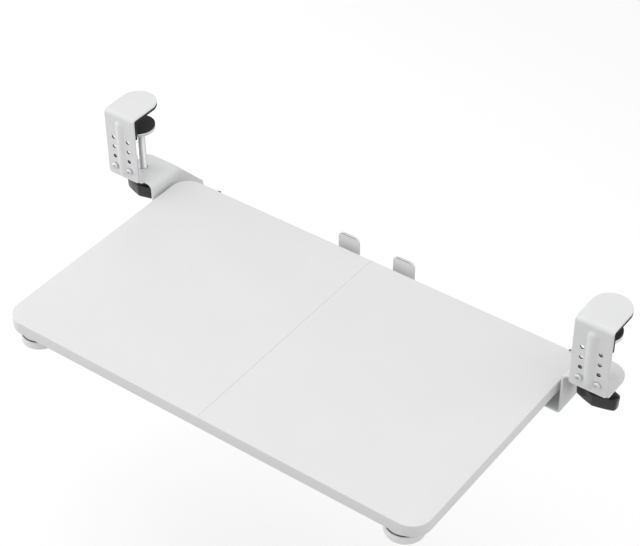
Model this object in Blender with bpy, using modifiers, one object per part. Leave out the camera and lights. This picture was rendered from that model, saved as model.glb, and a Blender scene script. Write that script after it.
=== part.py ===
"""Pull-out drawer tray on two clamps that grip the front edge of a level top.

Metres, +Z up. The origin is the middle of the gripped edge's upper corner: +X runs
along the edge, +Y goes in underneath. The tray is shown pulled out.
"""

import math

import bmesh
import bpy
from mathutils import Matrix, Vector

# Tray board, in two halves that meet at the middle
TRAY_WIDTH = 0.420
TRAY_DEPTH = 0.240
TRAY_THICKNESS = 0.012
TRAY_CORNER_RADIUS = 0.018
TRAY_EDGE_ROUND = 0.0008
TRAY_DROP = 0.0788          # tray top below the gripped top's upper face
SEAM_GAP = 0.0004

# Thickness of the level top that the clamps are set to
GRIP_THICKNESS = 0.018

# Clamp sheet metal
SHEET = 0.002
PLATE_WIDTH = 0.0343
PLATE_HEIGHT = 0.0689       # hook top down to the plate's lower edge
PLATE_CORNER_RADIUS = 0.0025
HOOK_REACH = 0.0392         # end of the hook behind the gripped edge
HOOK_BEND_RADIUS = 0.002    # inside
PAD_THICKNESS = 0.002
RIB_WIDTH = 0.008
RIB_HEIGHT = 0.00125
RIB_TOP_END = 0.008         # rib's top end below the hook top
RIB_FOOT_END = 0.003        # rib's foot above the plate's lower edge
RIB_GROOVE_WALL = 0.0009    # metal left behind the pressed groove
RIB_SINK = 0.0003           # middle of the rib sunk into the plate

# Height setting: rows of holes in the hook plate, the jaw bolted at the lowest
ROW_COUNT = 4
ROW_PITCH = 0.0104
COLUMN_SPACING = 0.0165

# Lower jaw and drawer guide, one bent sheet
JAW_BELOW_PLATE = 0.0012
JAW_TAB_HEIGHT = 0.0268
JAW_TAB_ROWS = 2            # rows of holes in the tab, the upper one spare
JAW_TAB_BEND_RADIUS = 0.003
JAW_SIDE_BEND_RADIUS = 0.005
GUIDE_BEND_RADIUS = 0.0015
TAB_RELIEF = 0.0029         # flat between the side bend and the tab
TRAY_SIDE_CLEARANCE = 0.0033
GUIDE_LENGTH = 0.0705
GUIDE_REAR_HEIGHT = 0.0065  # wall left standing at its sloped rear end
LIP_TOP_CLEARANCE = 0.0025
LIP_REAR_SETBACK = 0.0055
LIP_REAR_HEIGHT = 0.0095

# Clamp screw
SPINDLE_RADIUS = 0.004
SPINDLE_INSET = 0.0017      # from the plate's middle in towards the tray
SPINDLE_FORWARD = 0.0016    # from the middle of the hook's round end to the front
NECK_RADIUS = 0.0025
NUT_ACROSS_FLATS = 0.013
NUT_THICKNESS = 0.005
KNOB_LENGTH = 0.0379        # wing tip to wing tip
KNOB_FOOT_LENGTH = 0.0366   # the same at the foot
KNOB_WIDTH = 0.0191
KNOB_TIP_WIDTH = 0.0072
KNOB_TIP_RADIUS = 0.0033
KNOB_RIDGE_RADIUS = 0.0015
KNOB_HEIGHT = 0.0135
KNOB_HUB_RADIUS = 0.0074
KNOB_HUB_HEIGHT = 0.0080
KNOB_CLEARANCE = 0.001      # below the nut
KNOB_FLOOR = 0.002
KNOB_LOWER_ROUND = 0.0015
KNOB_UPPER_ROUND = 0.001
KNOB_TURNS = {"left": math.radians(-1), "right": math.radians(-2)}
DISC_RADIUS = 0.014
DISC_THICKNESS = 0.003
DISC_HUB_RADIUS = 0.0065
DISC_HUB_HEIGHT = 0.004

# Runner, rollers and axles
RUNNER_EDGE_INSET = 0.0015
RUNNER_FLANGE = 0.0074
RUNNER_WALL = 0.0015
RUNNER_FLANGE_WALL = 0.0018
RUNNER_REAR_SETBACK = 0.002
ROLLER_RADIUS = 0.0063
ROLLER_WIDTH = 0.007
ROLLER_SPACING = 0.0215
ROLLER_FRONT_INSET = 0.007
ROLLER_SIDE_GAP = 0.0013
AXLE_RADIUS = 0.002
AXLE_HEAD_RADIUS = 0.0035
AXLE_HEAD_HEIGHT = 0.0014
STOP_LENGTH = 0.0038

# Pucks under the front corners
PUCK_RADIUS = 0.0168
PUCK_HEIGHT = 0.0076
PUCK_EDGE_ROUND = 0.0015
PUCK_SIDE_INSET = 0.0236    # centre to the tray's side edge
PUCK_FRONT_INSET = 0.018    # centre to the tray's front edge
PUCK_TO_RUNNER = 0.0013
SPACER_RADIUS = 0.0164
SPACER_HEIGHT = 0.0058
PUCK_SCREW_RECESS = 0.0046

# Plate that joins the two board halves, with two turned-up stops at the rear
JOIN_WIDTH = 0.090
JOIN_LENGTH = 0.176         # under the board
JOIN_CORNER_RADIUS = 0.006
STOP_TAB_SPACING = 0.058
STOP_TAB_WIDTH = 0.0224
STOP_TAB_RISE = 0.0093      # above the tray top
STOP_TAB_STANDOFF = 0.0065  # behind the tray's rear edge
STOP_TAB_CORNER_RADIUS = 0.0045
STOP_TAB_BEND_RADIUS = 0.002
STOP_TAB_ROOT = 0.012
JOIN_SCREW_ROWS = 3
JOIN_SCREW_SPACING = 0.056
JOIN_SCREW_END = 0.015
DOWEL_COUNT = 3
DOWEL_RADIUS = 0.003
DOWEL_LENGTH = 0.024
DOWEL_END = 0.040

# Fasteners
BOLT_RADIUS = 0.002
BOLT_HEAD_RADIUS = 0.0032
BOLT_HEAD_HEIGHT = 0.0023
BOLT_TAIL = 0.0025
SCREW_RADIUS = 0.0016
SCREW_HEAD_RADIUS = 0.0028
SCREW_HEAD_HEIGHT = 0.0018
SCREW_BITE = 0.008
RUNNER_SCREW_COUNT = 3
RUNNER_SCREW_END = 0.020

# Clearances
FACE_GAP = 0.0003           # between faces that touch
BORE_GAP = 0.0003           # round a pin in its hole
RUN_GAP = 0.0004            # between sliding pieces
AXLE_HEAD_GAP = 0.0006
LIP_GAP = 0.001

# Facets
ARC_STEP = math.radians(22.5)
TURN_STEPS = 20
PIN_STEPS = 10
EDGE_STEPS = 2
RIM_STEPS = 3
RIM_ANGLE = math.radians(60)  # edges sharper than this are rounded
CUT_SPILL = 0.005           # how far a cutter runs past what it cuts
WELD = 1e-6                 # points closer than this are one

# Heights
TRAY_TOP = -TRAY_DROP
TRAY_BOTTOM = TRAY_TOP - TRAY_THICKNESS
HOOK_UNDERSIDE = PAD_THICKNESS + FACE_GAP
HOOK_TOP = HOOK_UNDERSIDE + SHEET
PLATE_BOTTOM = HOOK_TOP - PLATE_HEIGHT
JAW_TOP = PLATE_BOTTOM - JAW_BELOW_PLATE
JAW_BOTTOM = JAW_TOP - SHEET
BOLT_ROW = PLATE_BOTTOM + ROW_PITCH
RUNNER_TOP = TRAY_BOTTOM - FACE_GAP
TRACK_CEILING = RUNNER_TOP - RUNNER_WALL
FLANGE_UNDERSIDE = RUNNER_TOP - RUNNER_FLANGE_WALL
ROLLER_HEIGHT = TRACK_CEILING - RUN_GAP - ROLLER_RADIUS
TRACK_FLOOR = ROLLER_HEIGHT - ROLLER_RADIUS - RUN_GAP
RUNNER_BOTTOM = TRACK_FLOOR - RUNNER_WALL
GUIDE_FLOOR = RUNNER_BOTTOM - RUN_GAP
GUIDE_BOTTOM = GUIDE_FLOOR - SHEET
LIP_TOP = TRAY_BOTTOM - LIP_TOP_CLEARANCE
DISC_TOP = -GRIP_THICKNESS - PAD_THICKNESS - FACE_GAP
DISC_BOTTOM = DISC_TOP - DISC_THICKNESS
HUB_BOTTOM = DISC_BOTTOM - DISC_HUB_HEIGHT
NUT_TOP = JAW_BOTTOM - FACE_GAP
NUT_BOTTOM = NUT_TOP - NUT_THICKNESS
KNOB_TOP = NUT_BOTTOM - KNOB_CLEARANCE
KNOB_SHOULDER = KNOB_TOP - KNOB_HUB_HEIGHT
KNOB_BOTTOM = KNOB_SHOULDER - KNOB_HEIGHT

# Distances along X, on the right side
TRAY_EDGE = TRAY_WIDTH / 2
GUIDE_WALL = TRAY_EDGE + TRAY_SIDE_CLEARANCE
CLAMP_INNER = GUIDE_WALL + JAW_SIDE_BEND_RADIUS + SHEET + TAB_RELIEF
CLAMP_X = CLAMP_INNER + PLATE_WIDTH / 2
CLAMP_OUTER = CLAMP_X + PLATE_WIDTH / 2
SPINDLE_X = CLAMP_X - SPINDLE_INSET
RUNNER_OUTER = TRAY_EDGE - RUNNER_EDGE_INSET
WEB_OUTER = RUNNER_OUTER - RUNNER_FLANGE
WEB_INNER = WEB_OUTER - RUNNER_WALL
AXLE_OUTER = WEB_INNER - AXLE_HEAD_GAP
ROLLER_OUTER = AXLE_OUTER - AXLE_HEAD_HEIGHT - FACE_GAP
ROLLER_INNER = ROLLER_OUTER - ROLLER_WIDTH
LIP_OUTER = ROLLER_INNER - ROLLER_SIDE_GAP
LIP_INNER = LIP_OUTER - SHEET
TRACK_INNER = LIP_OUTER + LIP_GAP
PUCK_X = TRAY_EDGE - PUCK_SIDE_INSET

# Distances along Y
PLATE_BACK = -PAD_THICKNESS - FACE_GAP
PLATE_FRONT = PLATE_BACK - SHEET
JAW_TAB_FRONT = PLATE_BACK + FACE_GAP
JAW_TAB_BACK = JAW_TAB_FRONT + SHEET
GUIDE_FRONT = JAW_TAB_BACK + JAW_TAB_BEND_RADIUS
GUIDE_REAR = GUIDE_FRONT + GUIDE_LENGTH
HOOK_ROUND_Y = HOOK_REACH - PLATE_WIDTH / 2
SPINDLE_Y = HOOK_ROUND_Y - SPINDLE_FORWARD
ROLLER_FRONT_Y = GUIDE_FRONT + ROLLER_FRONT_INSET
ROLLER_REAR_Y = ROLLER_FRONT_Y + ROLLER_SPACING
STOP_FRONT = ROLLER_REAR_Y + ROLLER_RADIUS + RUN_GAP
RUNNER_REAR = STOP_FRONT + STOP_LENGTH
TRAY_REAR = RUNNER_REAR + RUNNER_REAR_SETBACK
TRAY_FRONT = TRAY_REAR - TRAY_DEPTH
PUCK_Y = TRAY_FRONT + PUCK_FRONT_INSET
RUNNER_FRONT = PUCK_Y + PUCK_RADIUS + PUCK_TO_RUNNER
JOIN_FRONT = TRAY_REAR - JOIN_LENGTH
STOP_TAB_FRONT = TRAY_REAR + STOP_TAB_STANDOFF

SIDES = (("left", -1), ("right", 1))

# Colour, roughness and metallic value of each finish
FINISHES = {
    "white_melamine": ((0.80, 0.80, 0.80), 0.45, 0.0),
    "white_powder_coat": ((0.78, 0.78, 0.78), 0.40, 0.0),
    "black_foam": ((0.012, 0.012, 0.012), 0.90, 0.0),
    "black_plastic": ((0.015, 0.015, 0.015), 0.25, 0.0),
    "bright_steel": ((0.62, 0.62, 0.62), 0.25, 1.0),
    "aluminium": ((0.75, 0.75, 0.76), 0.35, 1.0),
    "white_nylon": ((0.84, 0.84, 0.84), 0.50, 0.0),
    "beech": ((0.55, 0.36, 0.20), 0.70, 0.0),
}


def clear_scene():
    for obj in list(bpy.data.objects):
        bpy.data.objects.remove(obj, do_unlink=True)


def new_collection(name):
    collection = bpy.data.collections.new(name)
    bpy.context.scene.collection.children.link(collection)
    return collection


clear_scene()
PARTS = new_collection("under_desk_drawer")
CUTTERS = new_collection("cutters")


def finish_part(obj, finish, parent=None):
    """Give a finished piece its material, its collection and its parent."""
    color, roughness, metallic = FINISHES[finish]
    material = bpy.data.materials.new(obj.name + "_" + finish)
    material.use_nodes = True
    shader = material.node_tree.nodes["Principled BSDF"]
    shader.inputs["Base Color"].default_value = (*color, 1.0)
    shader.inputs["Roughness"].default_value = roughness
    shader.inputs["Metallic"].default_value = metallic
    obj.data.materials.append(material)
    CUTTERS.objects.unlink(obj)
    PARTS.objects.link(obj)
    if parent:
        obj.parent = parent
        obj.matrix_parent_inverse = Matrix.Translation(-parent.location)
    return obj


def empty(name, location):
    guide = bpy.data.objects.new(name, None)
    guide.location = location
    PARTS.objects.link(guide)
    return guide


def new_object(name, mesh):
    """New objects start among the cutters; finish_part moves the real pieces."""
    obj = bpy.data.objects.new(name, mesh)
    CUTTERS.objects.link(obj)
    return obj


def arc(center, radius, start, end):
    """Points on an arc, in angle steps small enough to look round."""
    steps = max(2, math.ceil(abs(end - start) / ARC_STEP))
    angles = [start + (end - start) * i / steps for i in range(steps + 1)]
    return [(center[0] + radius * math.cos(a), center[1] + radius * math.sin(a)) for a in angles]


def fillet(before, corner, after, radius):
    """Points of a corner rounded to a radius, from one leg to the other."""
    corner = Vector(corner)
    to_before = (Vector(before) - corner).normalized()
    to_after = (Vector(after) - corner).normalized()
    half = to_before.angle(to_after) / 2
    center = corner + (to_before + to_after).normalized() * (radius / math.sin(half))
    first = corner + to_before * (radius / math.tan(half)) - center
    last = corner + to_after * (radius / math.tan(half)) - center
    start = math.atan2(first.y, first.x)
    sweep = math.remainder(math.atan2(last.y, last.x) - start, math.tau)
    return arc(center, radius, start, start + sweep)


def rounded(corners):
    """Closed outline from (u, v, radius) corners."""
    outline = []
    for i, (u, v, radius) in enumerate(corners):
        before = corners[i - 1][:2]
        after = corners[(i + 1) % len(corners)][:2]
        outline += fillet(before, (u, v), after, radius) if radius else [(u, v)]
    return outline


def bent_sheet(path, radii, thickness):
    """Closed section of a sheet bent along a middle line, with inside bend radii."""
    line = [path[0]]
    for before, corner, after, radius in zip(path, path[1:], path[2:], radii):
        line += fillet(before, corner, after, radius + thickness / 2)
    line.append(path[-1])
    points = [Vector(p) for p in line]
    legs = [(b - a).normalized() for a, b in zip(points, points[1:])]
    tangents = [legs[0]] + [(a + b).normalized() for a, b in zip(legs, legs[1:])] + [legs[-1]]
    spreads = [1.0] + [1 / math.cos(a.angle(b) / 2) for a, b in zip(legs, legs[1:])] + [1.0]
    sides = [Vector((-t.y, t.x)) * (s * thickness / 2) for t, s in zip(tangents, spreads)]
    one_face = [tuple(p + n) for p, n in zip(points, sides)]
    other_face = [tuple(p - n) for p, n in zip(points, sides)]
    return one_face + other_face[::-1]


# Plane of an outline's (u, v) and the direction it is drawn out along
DRAW_AXES = {
    "X": Matrix(((0, 0, 1, 0), (1, 0, 0, 0), (0, 1, 0, 0), (0, 0, 0, 1))),
    "Y": Matrix(((1, 0, 0, 0), (0, 0, -1, 0), (0, 1, 0, 0), (0, 0, 0, 1))),
    "Z": Matrix.Identity(4),
}
DRAW_DIRECTIONS = {"X": Vector((1, 0, 0)), "Y": Vector((0, 1, 0)), "Z": Vector((0, 0, 1))}


def prism(name, outline, axis, low, high):
    """Solid drawn out from a flat outline along an axis, between two places."""
    low, high = min(low, high), max(low, high)
    curve = bpy.data.curves.new(name + "_outline", "CURVE")
    curve.dimensions = "2D"
    curve.fill_mode = "BOTH"
    curve.extrude = (high - low) / 2
    spline = curve.splines.new("POLY")
    spline.points.add(len(outline) - 1)
    for point, (u, v) in zip(spline.points, outline):
        point.co = (u, v, 0, 1)
    spline.use_cyclic_u = True
    guide = new_object(name + "_outline", curve)
    graph = bpy.context.evaluated_depsgraph_get()
    mesh = bpy.data.meshes.new_from_object(guide.evaluated_get(graph))
    bpy.data.objects.remove(guide, do_unlink=True)
    mesh.name = name
    cells = bmesh.new()
    cells.from_mesh(mesh)
    bmesh.ops.remove_doubles(cells, verts=cells.verts, dist=WELD)
    cells.transform(DRAW_AXES[axis])
    bmesh.ops.translate(cells, verts=cells.verts, vec=DRAW_DIRECTIONS[axis] * ((low + high) / 2))
    bmesh.ops.recalc_face_normals(cells, faces=cells.faces)
    cells.to_mesh(mesh)
    cells.free()
    return new_object(name, mesh)


def block(name, low, high):
    """Box between two corners, its origin at its centre."""
    low, high = Vector(low), Vector(high)
    cells = bmesh.new()
    size = [abs(s) for s in high - low]
    bmesh.ops.create_cube(cells, size=1.0, matrix=Matrix.Diagonal((*size, 1.0)))
    mesh = bpy.data.meshes.new(name)
    cells.to_mesh(mesh)
    cells.free()
    obj = new_object(name, mesh)
    obj.location = (low + high) / 2
    return obj


def turned(name, profile, steps, location=(0, 0, 0), rotation=(0, 0, 0), closed=False):
    """Turned piece: (radius, height) profile from its top, down its outer side."""
    mesh = bpy.data.meshes.new(name)
    edges = [(i, i + 1) for i in range(len(profile) - 1)]
    if closed:
        edges.append((len(profile) - 1, 0))
    mesh.from_pydata([(r, 0, z) for r, z in profile], edges, [])
    obj = new_object(name, mesh)
    screw = obj.modifiers.new("turn", "SCREW")
    screw.steps = steps
    screw.render_steps = steps
    screw.use_merge_vertices = True
    screw.merge_threshold = WELD
    obj.location = location
    obj.rotation_euler = rotation
    return obj


def rod_cutter(name, start, end, radius):
    """Round cutter between two points on its axis."""
    start, end = Vector(start), Vector(end)
    cells = bmesh.new()
    bmesh.ops.create_cone(
        cells, cap_ends=True, segments=PIN_STEPS, radius1=radius, radius2=radius, depth=(end - start).length
    )
    mesh = bpy.data.meshes.new(name)
    cells.to_mesh(mesh)
    cells.free()
    obj = new_object(name, mesh)
    obj.location = (start + end) / 2
    obj.rotation_euler = (end - start).to_track_quat("Z", "Y").to_euler()
    return obj


def combine(target, other, operation):
    """Boolean with another object, which stays as a wire guide."""
    other.hide_render = True
    other.display_type = "WIRE"
    modifier = target.modifiers.new(other.name, "BOOLEAN")
    modifier.operation = operation
    modifier.object = other
    modifier.solver = "EXACT"


def bore(target, start, end, radius):
    cutter = rod_cutter(target.name + "_bore", start, end, radius)
    combine(target, cutter, "DIFFERENCE")


def screw_profile(head_radius, head_height, radius, length):
    """Pan-head screw, its head above zero and its shank below."""
    shoulder = (head_radius * math.sin(math.pi / 4), head_height * math.cos(math.pi / 4))
    return [(0, head_height), shoulder, (head_radius, 0), (radius, 0), (radius, -length), (0, -length)]


def spread(first, last, count):
    """Evenly spaced places, both ends included."""
    return [first + (last - first) * i / (count - 1) for i in range(count)]


HEAD_DOWN = (math.pi, 0, 0)
HEAD_FRONT = (math.pi / 2, 0, 0)


# Two board halves with the dowel bores and pilot holes of everything screwed under them
JOIN_SCREW_PLACES = [
    (side * JOIN_SCREW_SPACING / 2, y)
    for side in (-1, 1)
    for y in spread(JOIN_FRONT + JOIN_SCREW_END, TRAY_REAR - JOIN_SCREW_END, JOIN_SCREW_ROWS)
]
RUNNER_SCREW_X = WEB_OUTER + RUNNER_FLANGE / 2
RUNNER_SCREW_YS = spread(RUNNER_FRONT + RUNNER_SCREW_END, RUNNER_REAR - RUNNER_SCREW_END, RUNNER_SCREW_COUNT)
DOWEL_YS = spread(TRAY_FRONT + DOWEL_END, TRAY_REAR - DOWEL_END, DOWEL_COUNT)
DOWEL_Z = TRAY_BOTTOM + TRAY_THICKNESS / 2


def tray_board(name, side):
    """Half of the board, cut from the whole so that only its outer edges are rounded."""
    outline = rounded([
        (-TRAY_EDGE, TRAY_FRONT, TRAY_CORNER_RADIUS),
        (TRAY_EDGE, TRAY_FRONT, TRAY_CORNER_RADIUS),
        (TRAY_EDGE, TRAY_REAR, TRAY_CORNER_RADIUS),
        (-TRAY_EDGE, TRAY_REAR, TRAY_CORNER_RADIUS),
    ])
    board = prism("tray_board_" + name, outline, "Z", TRAY_BOTTOM, TRAY_TOP)
    bevel = board.modifiers.new("edge_round", "BEVEL")
    bevel.width = TRAY_EDGE_ROUND
    bevel.segments = EDGE_STEPS
    bevel.limit_method = "ANGLE"
    bevel.angle_limit = RIM_ANGLE
    low = (side * SEAM_GAP / 2, TRAY_FRONT - CUT_SPILL, TRAY_BOTTOM - CUT_SPILL)
    high = (-side * (TRAY_EDGE + CUT_SPILL), TRAY_REAR + CUT_SPILL, TRAY_TOP + CUT_SPILL)
    combine(board, block("other_half_" + name, low, high), "DIFFERENCE")
    places = [(x, y) for x, y in JOIN_SCREW_PLACES if x * side > 0]
    places += [(side * RUNNER_SCREW_X, y) for y in RUNNER_SCREW_YS]
    places.append((side * PUCK_X, PUCK_Y))
    for x, y in places:
        below = (x, y, TRAY_BOTTOM - CUT_SPILL)
        bore(board, below, (x, y, TRAY_BOTTOM + SCREW_BITE + BORE_GAP), SCREW_RADIUS + BORE_GAP)
    for y in DOWEL_YS:
        inside = side * (DOWEL_LENGTH / 2 + BORE_GAP)
        bore(board, (-side * CUT_SPILL, y, DOWEL_Z), (inside, y, DOWEL_Z), DOWEL_RADIUS + BORE_GAP)
    return finish_part(board, "white_melamine", TRAY)


def dowel(number, y):
    half = DOWEL_LENGTH / 2
    profile = [(0, half), (DOWEL_RADIUS, half), (DOWEL_RADIUS, -half), (0, -half)]
    pin = turned(f"joint_dowel_{number}", profile, PIN_STEPS, (0, y, DOWEL_Z), (0, math.pi / 2, 0))
    return finish_part(pin, "beech", TRAY)


def wood_screw(name, x, y, seat):
    """Screw driven up into the board from a seat height."""
    length = TRAY_BOTTOM + SCREW_BITE - seat
    profile = screw_profile(SCREW_HEAD_RADIUS, SCREW_HEAD_HEIGHT, SCREW_RADIUS, length)
    return finish_part(turned(name, profile, PIN_STEPS, (x, y, seat), HEAD_DOWN), "bright_steel", TRAY)


def joining_plate():
    half = JOIN_WIDTH / 2
    top = TRAY_BOTTOM - FACE_GAP
    outline = rounded([
        (-half, JOIN_FRONT, JOIN_CORNER_RADIUS),
        (half, JOIN_FRONT, JOIN_CORNER_RADIUS),
        (half, TRAY_REAR, JOIN_CORNER_RADIUS),
        (-half, TRAY_REAR, JOIN_CORNER_RADIUS),
    ])
    plate = prism("joining_plate", outline, "Z", top - SHEET, top)
    middle = top - SHEET / 2
    upright = STOP_TAB_FRONT + SHEET / 2
    rise = TRAY_TOP + STOP_TAB_RISE
    tab_path = [(TRAY_REAR - STOP_TAB_ROOT, middle), (upright, middle), (upright, rise)]
    section = bent_sheet(tab_path, [STOP_TAB_BEND_RADIUS], SHEET)
    for name, side in SIDES:
        center = side * STOP_TAB_SPACING / 2
        low, high = center - STOP_TAB_WIDTH / 2, center + STOP_TAB_WIDTH / 2
        tab = prism("stop_tab_" + name, section, "X", low, high)
        face = rounded([
            (low, top - SHEET - CUT_SPILL, 0),
            (high, top - SHEET - CUT_SPILL, 0),
            (high, rise, STOP_TAB_CORNER_RADIUS),
            (low, rise, STOP_TAB_CORNER_RADIUS),
        ])
        rear = STOP_TAB_FRONT + SHEET + CUT_SPILL
        front = TRAY_REAR - STOP_TAB_ROOT - CUT_SPILL
        combine(tab, prism("stop_tab_face_" + name, face, "Y", front, rear), "INTERSECT")
        combine(plate, tab, "UNION")
    for x, y in JOIN_SCREW_PLACES:
        bore(plate, (x, y, top - SHEET - CUT_SPILL), (x, y, top + CUT_SPILL), SCREW_RADIUS + BORE_GAP)
    return finish_part(plate, "white_powder_coat", TRAY)


# Runner, rollers and pucks
def runner(name, side):
    section = [
        (RUNNER_OUTER, RUNNER_TOP), (RUNNER_OUTER, FLANGE_UNDERSIDE), (WEB_OUTER, FLANGE_UNDERSIDE),
        (WEB_OUTER, RUNNER_BOTTOM), (TRACK_INNER, RUNNER_BOTTOM), (TRACK_INNER, TRACK_FLOOR),
        (WEB_INNER, TRACK_FLOOR), (WEB_INNER, TRACK_CEILING), (TRACK_INNER, TRACK_CEILING),
        (TRACK_INNER, RUNNER_TOP),
    ]
    rail = prism("runner_" + name, [(side * x, z) for x, z in section], "Y", RUNNER_FRONT, RUNNER_REAR)
    for y in RUNNER_SCREW_YS:
        x = side * RUNNER_SCREW_X
        below = (x, y, FLANGE_UNDERSIDE - CUT_SPILL)
        bore(rail, below, (x, y, RUNNER_TOP + CUT_SPILL), SCREW_RADIUS + BORE_GAP)
    return finish_part(rail, "aluminium", TRAY)


def runner_stop(name, side):
    low = (side * TRACK_INNER, STOP_FRONT, TRACK_FLOOR + FACE_GAP)
    high = (side * (WEB_INNER - FACE_GAP), RUNNER_REAR, TRACK_CEILING - FACE_GAP)
    return finish_part(block("runner_stop_" + name, low, high), "white_nylon", TRAY)


def roller(name, side, y):
    center = side * (ROLLER_INNER + ROLLER_OUTER) / 2
    half = ROLLER_WIDTH / 2
    inside = AXLE_RADIUS + BORE_GAP
    profile = [(inside, half), (ROLLER_RADIUS, half), (ROLLER_RADIUS, -half), (inside, -half)]
    wheel = turned(name, profile, TURN_STEPS, (center, y, ROLLER_HEIGHT), (0, math.pi / 2, 0), closed=True)
    return finish_part(wheel, "white_nylon")


def roller_axle(name, side, y):
    """Riveted pin: one head outside the roller, one inside the lip."""
    outer_seat = ROLLER_OUTER + FACE_GAP
    inner_seat = LIP_INNER - FACE_GAP
    profile = [
        (0, AXLE_OUTER), (AXLE_HEAD_RADIUS, AXLE_OUTER), (AXLE_HEAD_RADIUS, outer_seat),
        (AXLE_RADIUS, outer_seat), (AXLE_RADIUS, inner_seat), (AXLE_HEAD_RADIUS, inner_seat),
        (AXLE_HEAD_RADIUS, inner_seat - AXLE_HEAD_HEIGHT), (0, inner_seat - AXLE_HEAD_HEIGHT),
    ]
    pin = turned(name, profile, PIN_STEPS, (0, y, ROLLER_HEIGHT), (0, side * math.pi / 2, 0))
    return finish_part(pin, "bright_steel")


def puck(name, side):
    x = side * PUCK_X
    spacer_top = TRAY_BOTTOM - FACE_GAP
    puck_top = spacer_top - SPACER_HEIGHT - FACE_GAP
    hole = SCREW_RADIUS + BORE_GAP
    ring = [(hole, 0), (SPACER_RADIUS, 0), (SPACER_RADIUS, -SPACER_HEIGHT), (hole, -SPACER_HEIGHT)]
    spacer = turned("puck_spacer_" + name, ring, TURN_STEPS, (x, PUCK_Y, spacer_top), closed=True)
    finish_part(spacer, "white_nylon", TRAY)
    recess = SCREW_HEAD_RADIUS + BORE_GAP
    seat = PUCK_SCREW_RECESS - PUCK_HEIGHT
    rim = PUCK_RADIUS - PUCK_EDGE_ROUND
    foot = arc((rim, PUCK_EDGE_ROUND - PUCK_HEIGHT), PUCK_EDGE_ROUND, 0, -math.pi / 2)
    profile = [(hole, 0), (PUCK_RADIUS, 0), *foot, (recess, -PUCK_HEIGHT), (recess, seat), (hole, seat)]
    disc = turned("stop_puck_" + name, profile, TURN_STEPS, (x, PUCK_Y, puck_top), closed=True)
    finish_part(disc, "white_nylon", TRAY)
    wood_screw("puck_screw_" + name, x, PUCK_Y, puck_top + seat - FACE_GAP)


# Upper hook, its pads and the bolts that set the jaw's height
BOLT_XS = (("inner", CLAMP_X - COLUMN_SPACING / 2), ("outer", CLAMP_X + COLUMN_SPACING / 2))


def hook_outline(side, front):
    """Plan of the hook: straight sides and a half-round end."""
    tip = arc((CLAMP_X, HOOK_ROUND_Y), PLATE_WIDTH / 2, 0, math.pi)
    plan = [(CLAMP_OUTER, front), *tip, (CLAMP_INNER, front)]
    return [(side * x, y) for x, y in plan]


def rib(name, side, width, height, y):
    """Long rounded ridge with domed ends, centred on a face of the plate."""
    radius = width / 2
    top = HOOK_TOP - RIB_TOP_END - radius
    foot = PLATE_BOTTOM + RIB_FOOT_END + radius - top
    profile = arc((0, 0), radius, math.pi / 2, 0) + arc((0, foot), radius, 0, -math.pi / 2)
    form = turned(name, profile, TURN_STEPS, (side * CLAMP_X, y, top))
    form.scale.y = height / radius
    return form


def hook_plate(name, side):
    upright = (PLATE_FRONT + PLATE_BACK) / 2
    level = (HOOK_UNDERSIDE + HOOK_TOP) / 2
    section = bent_sheet(
        [(upright, PLATE_BOTTOM), (upright, level), (HOOK_REACH, level)], [HOOK_BEND_RADIUS], SHEET
    )
    plate = prism("hook_plate_" + name, section, "X", side * CLAMP_INNER, side * CLAMP_OUTER)
    plan = hook_outline(side, PLATE_FRONT - CUT_SPILL)
    reach = prism("hook_plan_" + name, plan, "Z", PLATE_BOTTOM - CUT_SPILL, HOOK_TOP + CUT_SPILL)
    combine(plate, reach, "INTERSECT")

    # Rounded lower corners
    for edge, inward in ((CLAMP_INNER, 1), (CLAMP_OUTER, -1)):
        center = (edge + inward * PLATE_CORNER_RADIUS, PLATE_BOTTOM + PLATE_CORNER_RADIUS)
        start = math.pi if inward > 0 else 0
        corner = arc(center, PLATE_CORNER_RADIUS, start, start + inward * math.pi / 2)
        past, under = edge - inward * CUT_SPILL, PLATE_BOTTOM - CUT_SPILL
        trim = [(side * x, z) for x, z in [(past, center[1]), *corner, (center[0], under), (past, under)]]
        waste = prism("plate_corner_" + name, trim, "Y", PLATE_FRONT - CUT_SPILL, PLATE_BACK + CUT_SPILL)
        combine(plate, waste, "DIFFERENCE")

    # Pressed rib, hollow at the back
    ridge = rib("rib_" + name, side, RIB_WIDTH, RIB_HEIGHT + RIB_SINK, PLATE_FRONT + RIB_SINK)
    combine(plate, ridge, "UNION")
    groove_depth = SHEET - RIB_GROOVE_WALL + RIB_SINK
    groove = rib("rib_groove_" + name, side, RIB_WIDTH - SHEET, groove_depth, PLATE_BACK + RIB_SINK)
    combine(plate, groove, "DIFFERENCE")
    for row in range(ROW_COUNT):
        z = BOLT_ROW + row * ROW_PITCH
        for _, x in BOLT_XS:
            front = (side * x, PLATE_FRONT - CUT_SPILL, z)
            bore(plate, front, (side * x, PLATE_BACK + CUT_SPILL, z), BOLT_RADIUS + BORE_GAP)
    return finish_part(plate, "white_powder_coat")


def hook_pads(name, side):
    over = prism("hook_pad_" + name, hook_outline(side, 0), "Z", 0, PAD_THICKNESS)
    finish_part(over, "black_foam")
    low = (side * CLAMP_INNER, -PAD_THICKNESS, -GRIP_THICKNESS)
    high = (side * CLAMP_OUTER, 0, -FACE_GAP)
    finish_part(block("edge_pad_" + name, low, high), "black_foam")


def jaw_bolts(name, side):
    seat = PLATE_FRONT - FACE_GAP
    length = JAW_TAB_BACK + BOLT_TAIL - seat
    profile = screw_profile(BOLT_HEAD_RADIUS, BOLT_HEAD_HEIGHT, BOLT_RADIUS, length)
    for column, x in BOLT_XS:
        place = (side * x, seat, BOLT_ROW)
        bolt = turned(f"jaw_bolt_{column}_{name}", profile, PIN_STEPS, place, HEAD_FRONT)
        finish_part(bolt, "bright_steel")


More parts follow.
